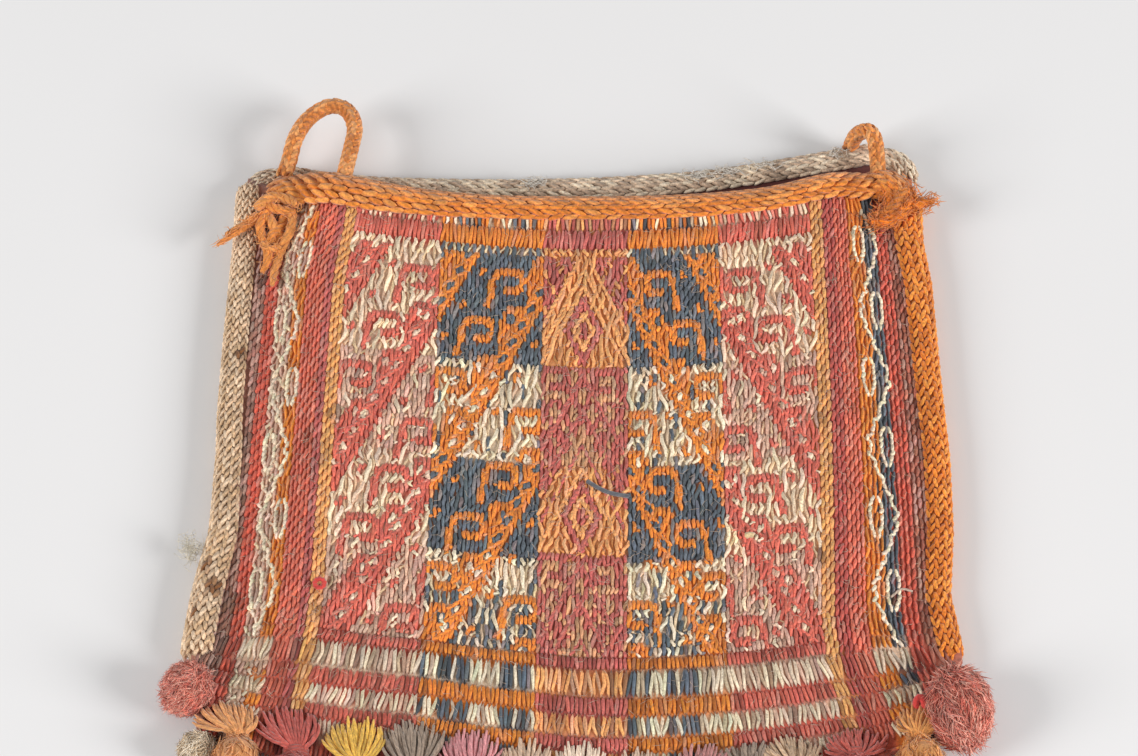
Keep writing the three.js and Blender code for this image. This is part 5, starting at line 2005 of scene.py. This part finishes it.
@dataclass
class CornerTies:
    """The knotted yarn on the left corner and the loose tuft on the right one."""

    form: ClothForm
    inset: float = 9.0
    drop: float = 13.0
    yarn: float = 1.5
    edging: float = 6.4
    over_edging: float = 6.1
    tuft_rise: float = 1.4
    bright: Sizes = (242, 134, 16)
    dull: Sizes = (206, 122, 42)
    hair: Sizes = (238, 136, 36)

    @staticmethod
    def thinned(count: int, start: float, end: float) -> Array:
        """How full a yarn is along its length, with thin ends outside start and end."""
        return np.interp(np.linspace(0, 1, count), [0, start, end, 1], [0.7, 1, 0.95, 0.5])

    def lifted(self, plan: list[Span], height: float, count: int = 22) -> Array:
        """A yarn path over the front wall and edging, from places of the plan."""
        points = np.array(plan, float)
        z = self.form.front_surface(points[:, 0], points[:, 1]) + 0.7
        half = self.form.half(np.clip(points[:, 1], 0, self.form.side_length), np.sign(points[:, 0]))
        z = np.where(np.abs(points[:, 0]) > half - self.edging, np.maximum(z, self.over_edging), z)
        return smooth_path(np.column_stack([points, z + height]), count)

    @staticmethod
    def rope(batch: MeshBatch, path: Array, radius: Array, tint: Array, rng: Random) -> None:
        """Adds a soft twisted yarn of four strands.

        Args:
            batch: Where the strands go.
            path: The yarn's centre line.
            radius: The yarn's radius along it.
            tint: Its linear colour.
            rng: The seeded generator.
        """
        _, first, second = path_frames(path)
        length = run_lengths(path)
        for strand in range(4):
            angle = (strand / 4 * 2 * np.pi + length * 0.9 + rng.normal(0, 0.2))[:, None]
            loose = radius[:, None] * (0.55 + 0.1 * np.sin(length * 1.7 + strand))[:, None]
            shifted = path + loose * (first * np.cos(angle) + second * np.sin(angle))
            batch.add_tube(shifted, radius * 0.56, tint * rng.uniform(0.86, 1.16), 6)

    def wisps(self, paths: list[Array], count: int, spread: float, tint: Array, seed: int) -> GrainField:
        """Loose fibres round yarns.

        Args:
            paths: The yarns' centre lines.
            count: How many fibres.
            spread: How far they stand off.
            tint: Their linear colour.
            seed: Seed of their places.

        Returns:
            The fibres.
        """
        rng = np.random.default_rng(seed)
        points = np.vstack(paths)
        ways = np.vstack([unit(np.gradient(path, axis=0)) for path in paths])
        picked = rng.integers(0, len(points), count)
        spots = points[picked] + rng.normal(0, spread, (count, 3)) * np.array([1.0, 1.0, 0.5])
        spots[:, 2] += 0.3
        along = unit(ways[picked] + rng.normal(0, 0.5, (count, 3)))
        sizes = slim(0.11, rng.uniform(1.0, 2.2, count))
        fibres = GrainField()
        tints = tint * rng.uniform(0.8, 1.25, (count, 1))
        fibres.add(spots, along, UP, sizes, tints, rng.normal(0, 0.5, count), rng.uniform(0, 2, count))
        return fibres

    @property
    def corner(self) -> Span:
        """Where the ties sit: the way out from the middle, and the rise."""
        top = self.form.side_length
        return float(self.form.half(top, -1.0)) - self.inset, top - self.drop

    def left_knot(self) -> list[Piece]:
        """The knot: wraps of soft yarn with a loop and tails.

        Returns:
            Its yarns and its loose fibres.
        """
        out, y = self.corner
        batch = MeshBatch()
        rng = np.random.default_rng(44)
        light, deep = linear(232, 152, 74), linear(222, 136, 54)
        left = ((-1.5, 5.0), (-4.8, 2.6), (-5.6, -0.8), (-4.4, -4.6), (-3.7, -8.2), (-4.7, -11.2))
        right = ((-1.0, 5.2), (0.8, 2.2), (0.4, -2.0), (-1.4, -6.0), (-2.2, -10.0), (-2.6, -14.4))
        over = ((-6.6, 3.4), (-3.6, 5.8), (0.4, 5.2), (1.7, 3.4))
        under = ((-5.8, 5.2), (-2.4, 3.4), (1.4, 2.4))
        link = ((-5.0, -4.6), (-3.0, -6.0), (-1.0, -5.0))
        tail = ((-4.0, 3.0), (-7.4, 0.6), (-11.0, -2.2), (-14.2, -4.6))
        second = ((-4.2, 3.8), (-7.6, 1.4), (-10.8, -1.0), (-12.6, -2.2))
        filling = ((-4.2, 2.6), (-3.0, 0.0), (-1.6, -2.6), (-2.8, -5.0))
        inner = ((-0.6, 2.8), (-1.4, 0.2), (-3.2, -2.4), (-3.6, -5.6))
        strands = (
            (filling, 0.3, 1.1, light), (inner, 0.6, 1.0, deep), (left, 0.5, 1.0, deep),
            (right, 0.7, 0.95, light), (over, 1.9, 1.1, light), (under, 1.3, 1.0, deep),
            (link, 1.0, 0.8, light), (tail, 0.4, 0.6, deep), (second, 0.8, 0.45, light),
        )
        paths = []
        for plan, height, radius, tint in strands:
            path = self.lifted([(a - out, y + b) for a, b in plan], height)
            paths.append(path)
            self.rope(batch, path, radius * self.thinned(len(path), 0.1, 0.8), tint, rng)
        yarns = dress(batch.build("left_knot_yarn", TUFT_FINISH), "orange_cord", "left_tie_knot")
        hairs = self.wisps(paths, 260, 0.5, light * 1.2, 43)
        return [yarns, dress(hairs.build("left_knot_fibres", WISP_GRAIN, TUFT_FINISH), "orange_cord")]

    def right_tuft(self) -> list[Piece]:
        """The tuft: a brush of loose yarn ends with one tail.

        Returns:
            Its core yarn and its loose fibres.
        """
        rng = np.random.default_rng(41)
        out, y = self.corner
        batch = MeshBatch()
        plans = (
            (((2.0, 9.6), (5.6, 9.0), (8.4, 6.6), (8.2, 3.2)), 0.6, 1.0, self.dull),
            (((1.6, 8.2), (4.6, 7.4), (7.0, 4.6), (5.6, 1.2)), 1.4, 1.2, self.dull),
            (((2.6, 6.2), (5.0, 5.6), (6.6, 3.6), (6.0, 1.0)), 1.0, 1.3, self.dull),
            (((8.8, 4.6), (6.4, 1.4), (3.4, -0.6), (0.4, -1.0)), 0.9, 1.25, self.bright),
            (((7.8, 6.4), (5.2, 2.6), (2.6, 0.8), (1.0, 0.6)), 1.7, 1.2, self.dull),
            (((3.2, 7.4), (4.2, 4.2), (3.4, 1.0), (1.4, -2.0)), 1.2, 1.0, self.bright),
            (((6.4, 8.6), (8.0, 5.4), (6.8, 1.6), (4.0, -1.8)), 1.3, 1.0, self.bright),
            (((7.0, 3.4), (9.6, 3.4), (11.6, 3.9), (13.4, 4.6)), 0.7, 0.9, self.bright),
        )
        paths = []
        for plan, height, radius, colour in plans:
            path = self.lifted([(out + a, y + b + self.tuft_rise) for a, b in plan], height, 18)
            paths.append(path)
            tint = linear(*colour) * rng.uniform(0.9, 1.1)
            self.rope(batch, path, radius * self.thinned(len(path), 0.15, 0.75), tint, rng)
        core = dress(batch.build("right_tuft_yarn", TUFT_FINISH), "orange_cord", "right_yarn_tuft")
        hairs = self.wisps(paths, 900, 0.9, linear(*self.hair), 42)
        return [core, dress(hairs.build("right_tuft_fibres", WISP_GRAIN, TUFT_FINISH), "orange_cord")]

    def build(self) -> list[Piece]:
        """Builds both ties."""
        return [*self.left_knot(), *self.right_tuft()]


@dataclass
class Fluff:
    """A ball of soft cut wool: a core and long curved fibres that follow a flow."""

    centre: Sizes
    radii: Sizes
    colours: tuple[Sizes, ...]
    flow: Sizes
    hairs: int
    seed: int
    length: Span = (1.2, 2.3)

    def core(self, batch: MeshBatch) -> None:
        """Adds the ball's core to a batch."""
        radii = np.array(self.radii) * 0.9
        batch.add_ball(np.array(self.centre), tuple(radii), linear(*self.colours[0]) * 0.95, 18, 12)

    def fibres(self) -> GrainField:
        """The ball's fibres.

        Returns:
            The field of fibres.
        """
        rng = np.random.default_rng(self.seed)
        count = self.hairs
        yarns = np.array([linear(*colour) for colour in self.colours])
        radii = np.array(self.radii)
        out = unit(rng.normal(0, 1, (count, 3)))
        loose = rng.random(count) < 0.14
        flow = np.array(self.flow) - out * (out @ np.array(self.flow))[:, None]
        locks = np.sin(out @ np.array([7.0, 3.0, 5.0]))[:, None] * np.cross(out, self.flow) * 0.6
        rise = np.where(loose, 0.5, 0.06)[:, None]
        along = unit(flow + locks + rise * out + rng.normal(0, 0.18, (count, 3)))
        spots = np.array(self.centre) + out * radii * rng.uniform(0.86, 0.97, (count, 1))
        long = rng.uniform(*self.length, count)
        wide = np.where(loose, 0.06, rng.uniform(0.11, 0.19, count))
        spots[:, 2] = np.maximum(spots[:, 2], np.abs(along[:, 2]) * long + wide + 0.25)
        shade = np.clip(1.12 + 0.2 * np.sin(out @ np.array([9.0, 8.0, 2.0])), 0.85, 1.4)[:, None]
        tints = yarns[rng.integers(0, len(yarns), count)] * shade
        tints = tints * rng.normal(1, 0.08, (count, 1)).clip(0.8, 1.25)
        hairs = GrainField()
        bends, phases = rng.normal(0, 0.4, count), rng.uniform(0, 2, count)
        hairs.add(spots, along, out, slim(wide, long), tints, bends, phases)
        return hairs


@dataclass(frozen=True)
class TasselWool:
    """The wool of one tassel: its slot and colour."""

    slot: str
    colour: Sizes


TASSEL_WOOLS = (
    TasselWool("tan_wool", (230, 162, 100)),
    TasselWool("maroon_wool", (200, 92, 80)),
    TasselWool("yellow_wool", (236, 188, 78)),
    TasselWool("grey_wool", (160, 140, 122)),
    TasselWool("pink_wool", (222, 150, 152)),
    TasselWool("cream_wool", (222, 192, 164)),
    TasselWool("white_wool", (246, 224, 200)),
    TasselWool("cream_wool", (222, 194, 168)),
    TasselWool("pink_wool", (200, 136, 130)),
    TasselWool("grey_wool", (160, 140, 122)),
    TasselWool("beige_wool", (216, 184, 150)),
    TasselWool("maroon_wool", (198, 92, 78)),
    TasselWool("tan_wool", (230, 158, 86)),
)


@dataclass
class Tassels:
    """The row of tassels along the foot: fans of looped yarn, a neck and a fluffy ball."""

    form: ClothForm
    diameter: float = 9.7
    pitch: float = 10.2
    fan: float = 8.8
    foot_half: float = 67.0
    strand: float = 0.33
    strands: int = 36
    thinning: tuple[Steps, Steps] = ((0.0, 0.15, 0.7, 1.0), (0.6, 1.0, 1.05, 0.9))
    neck: Sizes = (2.15, 1.65, 3.6)
    wraps: int = 3
    wrap: Span = (0.4, 0.65)
    hairs: int = 300
    lifts: Steps = (0.45, 1.1, 1.5, 1.3)
    shifts: Steps = (-2.6, -1.8, -0.6, -0.2, 0.0, 0.0, 0.0, 0.4, 1.4, 0.6, -0.9, 0.2, 2.0)
    drops: Steps = (2.8, 0.2, -0.4, -1.8, -1.4, 0.0, 0.0, 1.4, 1.2, 2.2, 2.5, 3.6, 2.4)

    def fan_paths(self, x: float, shift: float, drop: float, rng: Random) -> list[Array]:
        """Yarns of the fan, from the cloth down to the neck.

        Args:
            x: The tassel's place along the foot.
            shift: How far the fan leans along the foot.
            drop: How far its upper end hangs below the others.
            rng: The seeded generator.

        Returns:
            One path per yarn.
        """
        foot = float(self.form.foot_y(x / self.foot_half))
        paths = []
        for index in range(self.strands):
            upper = index % 3 == 0
            sway = (index / (self.strands - 1) - 0.5) * 2 + rng.normal(0, 0.02)
            reach = self.fan * (1.0 - 0.3 * sway * sway) * (0.8 if upper else 1.0) + rng.normal(0, 0.5)
            wave = rng.normal(0, 0.16, 4)
            plan = np.array(
                [
                    (x + shift + sway * 5.9 + wave[0], foot + reach),
                    (x + shift * 0.7 + sway * 5.2 + wave[1], foot + reach * 0.7),
                    (x + shift * 0.3 + sway * 3.7 + wave[2], foot + reach * 0.36),
                    (x + sway * 1.8, foot + 0.6),
                ]
            )
            plan[:, 1] -= drop * np.array([1.0, 0.8, 0.55, 0.3])
            z = self.form.front_surface(np.clip(plan[:, 0], -66, 66), plan[:, 1]) + np.array(self.lifts)
            z = z + (0.55 if upper else 0.0) + 0.35 * rng.random() * np.array([0.4, 1, 1, 0.5])
            below = np.array([[x + sway * 1.9, foot - 1.4, self.neck[2] + 1.3 * (1 - sway * sway)]])
            paths.append(smooth_path(np.vstack([np.column_stack([plan, z]), below]), 9))
        return paths

    def one(self, index: int, wool: TasselWool) -> list[Piece]:
        """Builds one tassel.

        Args:
            index: Its place in the row, from 0.
            wool: Its wool.

        Returns:
            The yarns and the fluff of its ball.
        """
        rng = np.random.default_rng(50 + index)
        tint = linear(*wool.colour)
        shift = self.shifts[index]
        x = (index - len(TASSEL_WOOLS) // 2) * self.pitch + shift
        foot = float(self.form.foot_y(x / self.foot_half))
        radius = self.diameter / 2
        batch = MeshBatch()
        for path in self.fan_paths(x, shift, self.drops[index], rng):
            thick = self.strand * np.interp(np.linspace(0, 1, len(path)), *self.thinning)
            batch.add_tube(path, thick, tint * rng.uniform(0.78, 1.22), 5)
        wide, tall, height = self.neck
        thick, step = self.wrap
        for wrap in range(self.wraps):
            angle = np.linspace(0, 2 * np.pi, 15)
            level = np.full(15, foot + 0.5 - step * wrap) + 0.15 * np.sin(angle)
            ring = np.stack([x + wide * np.cos(angle), level, height + tall * np.sin(angle)], axis=1)
            # The wraps take the tassel's wool at 0.8: painted shade in the tied neck.
            batch.add_tube(ring, thick, tint * 0.8, 6)
        ball = Fluff(
            (x, foot - radius - 0.6, radius + 0.2), (radius * 0.95, radius, radius * 0.95), (wool.colour,),
            (0.0, -1.0, -0.2), self.hairs, 150 + index,
        )
        ball.core(batch)
        number = f"{index + 1:02d}"
        yarn = dress(batch.build(f"tassel_{number}_yarn", TUFT_FINISH), wool.slot, f"tassel_{number}")
        fluff = ball.fibres().build(f"tassel_{number}_fluff", HAIR_GRAIN, TUFT_FINISH)
        return [yarn, dress(fluff, wool.slot)]

    def build(self) -> list[Piece]:
        """Builds the whole row."""
        return [piece for index, wool in enumerate(TASSEL_WOOLS) for piece in self.one(index, wool)]


@dataclass
class Pompoms:
    """The soft balls of wool at the foot corners."""

    rose: tuple[Sizes, ...] = ((224, 124, 102), (232, 144, 122), (212, 106, 88), (242, 172, 150))
    cream: tuple[Sizes, ...] = ((236, 214, 184), (222, 194, 158), (246, 230, 206))

    def one(self, name: str, node: str, slot: str, ball: Fluff) -> list[Piece]:
        """Builds one pompom.

        Args:
            name: What its pieces are called.
            node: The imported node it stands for.
            slot: Its finish slot.
            ball: Its wool.

        Returns:
            Core and fluff.
        """
        batch = MeshBatch()
        ball.core(batch)
        core = dress(batch.build(name + "_core", TUFT_FINISH), slot, node)
        return [core, dress(ball.fibres().build(name + "_fluff", HAIR_GRAIN, TUFT_FINISH), slot)]

    def build(self) -> list[Piece]:
        """Builds the three pompoms.

        Returns:
            Their cores and fluff.
        """
        left = Fluff((-73.6, 7.7, 5.3), (4.5, 5.0, 5.0), self.rose, (-0.9, -0.5, -0.3), 1900, 81, (1.4, 2.8))
        right = Fluff((70.9, 3.4, 6.0), (6.1, 8.3, 5.8), self.rose, (0.5, -1.0, -0.3), 2400, 82, (1.6, 3.4))
        small = Fluff((-71.0, -4.4, 4.0), (3.6, 3.6, 3.7), self.cream, (-0.6, -0.8, 0.0), 650, 83)
        pieces = self.one("left_pompom", "left_corner_pompom", "rose_wool", left)
        pieces += self.one("right_pompom", "right_corner_pompom", "rose_wool", right)
        return pieces + self.one("cream_pompom", "left_cream_pompom", "cream_wool", small)


@dataclass
class RedRing:
    """The small red ring sewn on the left of the front."""

    form: ClothForm
    diameter: float = 2.7
    tube: float = 0.9
    inset: float = 24.0
    rise: float = 26.5
    over_cloth: float = 0.95
    colour: Sizes = (214, 62, 54)

    def build(self) -> Piece:
        """Builds the ring from wound red yarn.

        Returns:
            The ring's object.
        """
        x = self.inset - float(self.form.half(self.rise, -1.0))
        z = float(self.form.front_surface(x, self.rise)) + self.over_cloth + self.tube / 2
        angle = np.linspace(0, 2 * np.pi, 41)
        radius = (self.diameter - self.tube) / 2
        y = self.rise + radius * np.sin(angle)
        ring = np.stack([x + radius * np.cos(angle), y, np.full(41, z)], axis=1)
        batch = MeshBatch()
        batch.add_tube(ring, self.tube / 2 * (1 + 0.12 * np.sin(angle * 9)), linear(*self.colour), 10)
        return dress(batch.build("red_ring_yarn", TUFT_FINISH), "red_ring", "red_bead")


@dataclass
class LooseFibres:
    """Loose threads and a haze of stray fibres on the cloth."""

    grid: WeaveGrid
    count: int = 3200
    red_end: tuple[Sizes, ...] = (
        (62.9, 3.6, 0.2), (62.9, 5.0, 1.3), (63.6, 5.7, 1.7), (64.3, 4.9, 1.4), (64.4, 3.4, 0.4),
    )
    tufts: tuple[tuple[float, int, float], ...] = (
        (-0.13, 34, 1.2), (0.36, 34, 1.9), (0.44, 30, 1.5), (0.56, 20, 1.4), (0.78, 16, 1.2),
    )
    wisp: Sizes = (-74.7, 37.6, 3.8)
    wisp_spread: Sizes = (1.15, 1.4, 0.7)
    wisp_count: int = 130

    def threads(self) -> Piece:
        """The few loose threads that stand out on the front.

        Returns:
            The threads' object.
        """
        batch = MeshBatch()
        runs = (
            ([(67.0, 39.4), (69.4, 40.4), (71.6, 41.0), (74.8, 41.4)], 0.42, (96, 98, 104)),
            ([(96.6, 47.5), (97.2, 47.4), (97.9, 47.5)], 0.62, (226, 200, 150)),
            ([(106.2, 8.0), (106.9, 8.6), (106.6, 9.6)], 0.4, (244, 222, 190)),
            ([(122.8, 57.2), (124.6, 56.2), (126.2, 56.6)], 0.24, (200, 176, 156)),
        )
        for places, radius, colour in runs:
            points = np.array(places)
            path = self.grid.place(points[:, 0], points[:, 1], True, -0.55)[0]
            batch.add_tube(smooth_path(path, 16), radius, linear(*colour), 6)
        bend = np.array(self.red_end)
        bend[:, 2] += self.grid.form.front_surface(bend[:, 0], bend[:, 1])
        batch.add_tube(smooth_path(bend, 16), 0.72, linear(214, 66, 60), 7)
        return dress(batch.build("loose_threads", TUFT_FINISH), "striped_cloth")

    def haze(self) -> Piece:
        """Fine stray fibres over the front.

        Returns:
            The fibres' object.
        """
        rng = np.random.default_rng(71)
        count = self.count
        column, row = rng.uniform(0, 130, count), rng.uniform(4, 72, count)
        point, along, normal, u = self.grid.frames(column, row, True)
        keep = np.abs(u) < 0.95
        angle = rng.uniform(0, 2 * np.pi, count)
        way = along * np.cos(angle)[:, None] + np.cross(along, normal) * np.sin(angle)[:, None]
        way = way + normal * rng.uniform(-0.1, 0.25, (count, 1))
        sizes = slim(0.045, rng.uniform(0.5, 1.3, count))
        tint = linear(236, 206, 178) * rng.uniform(0.6, 1.1, (count, 1))
        bends, phases = rng.normal(0, 0.3, count), rng.uniform(0, 2, count)
        hairs = GrainField()
        laid = (point + normal * 0.55, way, normal, sizes, tint, bends, phases)
        hairs.add(*(values[keep] for values in laid))
        return dress(hairs.build("stray_fibres", WISP_GRAIN, TUFT_FINISH), "striped_cloth")

    def lint(self) -> Piece:
        """Small pale tufts of fluff caught on the back edging, and a wisp of it on the left one.

        Returns:
            The fluff's object.
        """
        rng = np.random.default_rng(72)
        hairs = GrainField()
        for u, count, spread in self.tufts:
            base = self.grid.form.point(u, 1.0, False, 0.65) + np.array([0.0, -0.4, 2.6])
            spots = base + rng.normal(0, 1, (count, 3)) * np.array([spread, 0.5, 0.2])
            way = np.stack([np.ones(count), rng.normal(0, 0.9, count), rng.normal(0.1, 0.25, count)], axis=1)
            long = rng.uniform(0.8, 2.0, count)
            sizes = np.stack([np.full(count, 0.13), long, np.full(count, 0.1)], axis=1)
            tint = linear(250, 240, 226) * rng.uniform(0.9, 1.0, (count, 1))
            hairs.add(spots, way, UP, sizes, tint, rng.normal(0, 0.5, count), rng.uniform(0, 2, count))
        count = self.wisp_count
        spots = np.array(self.wisp) + rng.normal(0, 1, (count, 3)) * np.array(self.wisp_spread)
        spots[:, 2] = np.maximum(spots[:, 2], 1.4)
        way = rng.normal(0, 1, (count, 3)) * np.array([1.0, 1.0, 0.4])
        sizes = slim(0.06, rng.uniform(0.7, 1.7, count))
        tint = linear(255, 244, 220) * rng.uniform(0.9, 1.05, (count, 1))
        hairs.add(spots, way, UP, sizes, tint, rng.normal(0, 0.6, count), rng.uniform(0, 2, count))
        return dress(hairs.build("pale_lint", WISP_GRAIN, TUFT_FINISH), "grey_edging")

    def build(self) -> list[Piece]:
        """Builds threads, haze and lint."""
        return [self.threads(), self.haze(), self.lint()]


@dataclass
class Studio:
    """The pale floor, the soft light and the camera over the bag."""

    target: Sizes = (-0.002, 0.018914, 0.0)
    distance: float = 0.630
    elevation: float = 60.0
    lens: float = 99.65
    sensor: float = 36.0
    nearest: float = 0.01
    ambient: float = 0.35
    lamps: tuple[tuple[str, Sizes, float, float], ...] = (
        ("key_lamp", (1.6, -0.66, 0.8), 0.8, 31.0),
        ("fill_lamp", (-1.6, -0.56, 0.88), 0.9, 24.0),
    )
    floor_colours: tuple[Sizes, Sizes] = ((236, 235, 235), (241, 240, 240))

    def floor(self) -> None:
        """Lays the pale floor."""
        mesh = bpy.data.meshes.new("floor")
        mesh.from_pydata([(-3, -3, 0), (3, -3, 0), (3, 3, 0), (-3, 3, 0)], [], [(0, 1, 2, 3)])
        material = bpy.data.materials.new("pale_floor")
        material.use_nodes = True
        board = NodeBoard(material.node_tree)
        ramp = board.node("ShaderNodeValToRGB", {"Fac": board.noise(5.0, 2.0)})
        for stop, colour in zip(ramp.color_ramp.elements, self.floor_colours):
            stop.color = (*linear(*colour), 1.0)
        finish = {"Base Color": ramp.outputs["Color"], "Roughness": 0.9, "Specular IOR Level": 0.1}
        board.feed(material.node_tree.nodes["Principled BSDF"], finish)
        mesh.materials.append(material)
        add_object("floor", mesh)

    @staticmethod
    def lamp(name: str, place: Sizes, size: float, power: float) -> None:
        """Adds a soft square lamp that faces the bag.

        Args:
            name: The lamp's name.
            place: Where it hangs, in metres.
            size: Its width.
            power: Its strength in watts.
        """
        data = bpy.data.lights.new(name, "AREA")
        data.size = size
        data.energy = power
        lamp = bpy.data.objects.new(name, data)
        bpy.context.scene.collection.objects.link(lamp)
        lamp.location = place
        lamp.rotation_euler = (-Vector(place)).to_track_quat("-Z", "Y").to_euler()

    def build(self) -> None:
        """Sets up world, lamps and camera."""
        scene = bpy.context.scene
        scene.view_settings.view_transform = "Standard"
        world = scene.world or bpy.data.worlds.new("studio")
        scene.world = world
        world.use_nodes = True
        background = world.node_tree.nodes["Background"]
        background.inputs["Color"].default_value = (1.0, 1.0, 1.0, 1.0)
        background.inputs["Strength"].default_value = self.ambient
        self.floor()
        for settings in self.lamps:
            self.lamp(*settings)
        data = bpy.data.cameras.new("camera")
        data.sensor_width = self.sensor
        data.lens = self.lens
        camera = bpy.data.objects.new("camera", data)
        scene.collection.objects.link(camera)
        angle = math.radians(self.elevation)
        camera.location = (
            self.target[0],
            self.target[1] - self.distance * math.cos(angle),
            self.target[2] + self.distance * math.sin(angle),
        )
        camera.rotation_euler = (math.radians(90 - self.elevation), 0, 0)
        data.clip_start = self.nearest
        scene.camera = camera


def main() -> None:
    """Builds the bag's pieces in order and reports each."""
    logging.basicConfig(level=logging.INFO, format="%(name)s: %(message)s")
    form = ClothForm()
    grid = WeaveGrid(form)
    pattern = StripePattern()
    Studio().build()
    loops = HangingLoops(form).build()
    cloth = BagCloth(form, grid, pattern)
    woven = cloth.build()
    edgings = Edgings(form).build()
    CornerTies(form).build()
    tassels = Tassels(form).build()
    Pompoms().build()
    RedRing(form).build()
    LooseFibres(grid).build()
    LOG.info("%d loop pieces, %d pieces on the cloth", len(loops), len(woven) + len(edgings))


if __name__ == "__main__":
    main()
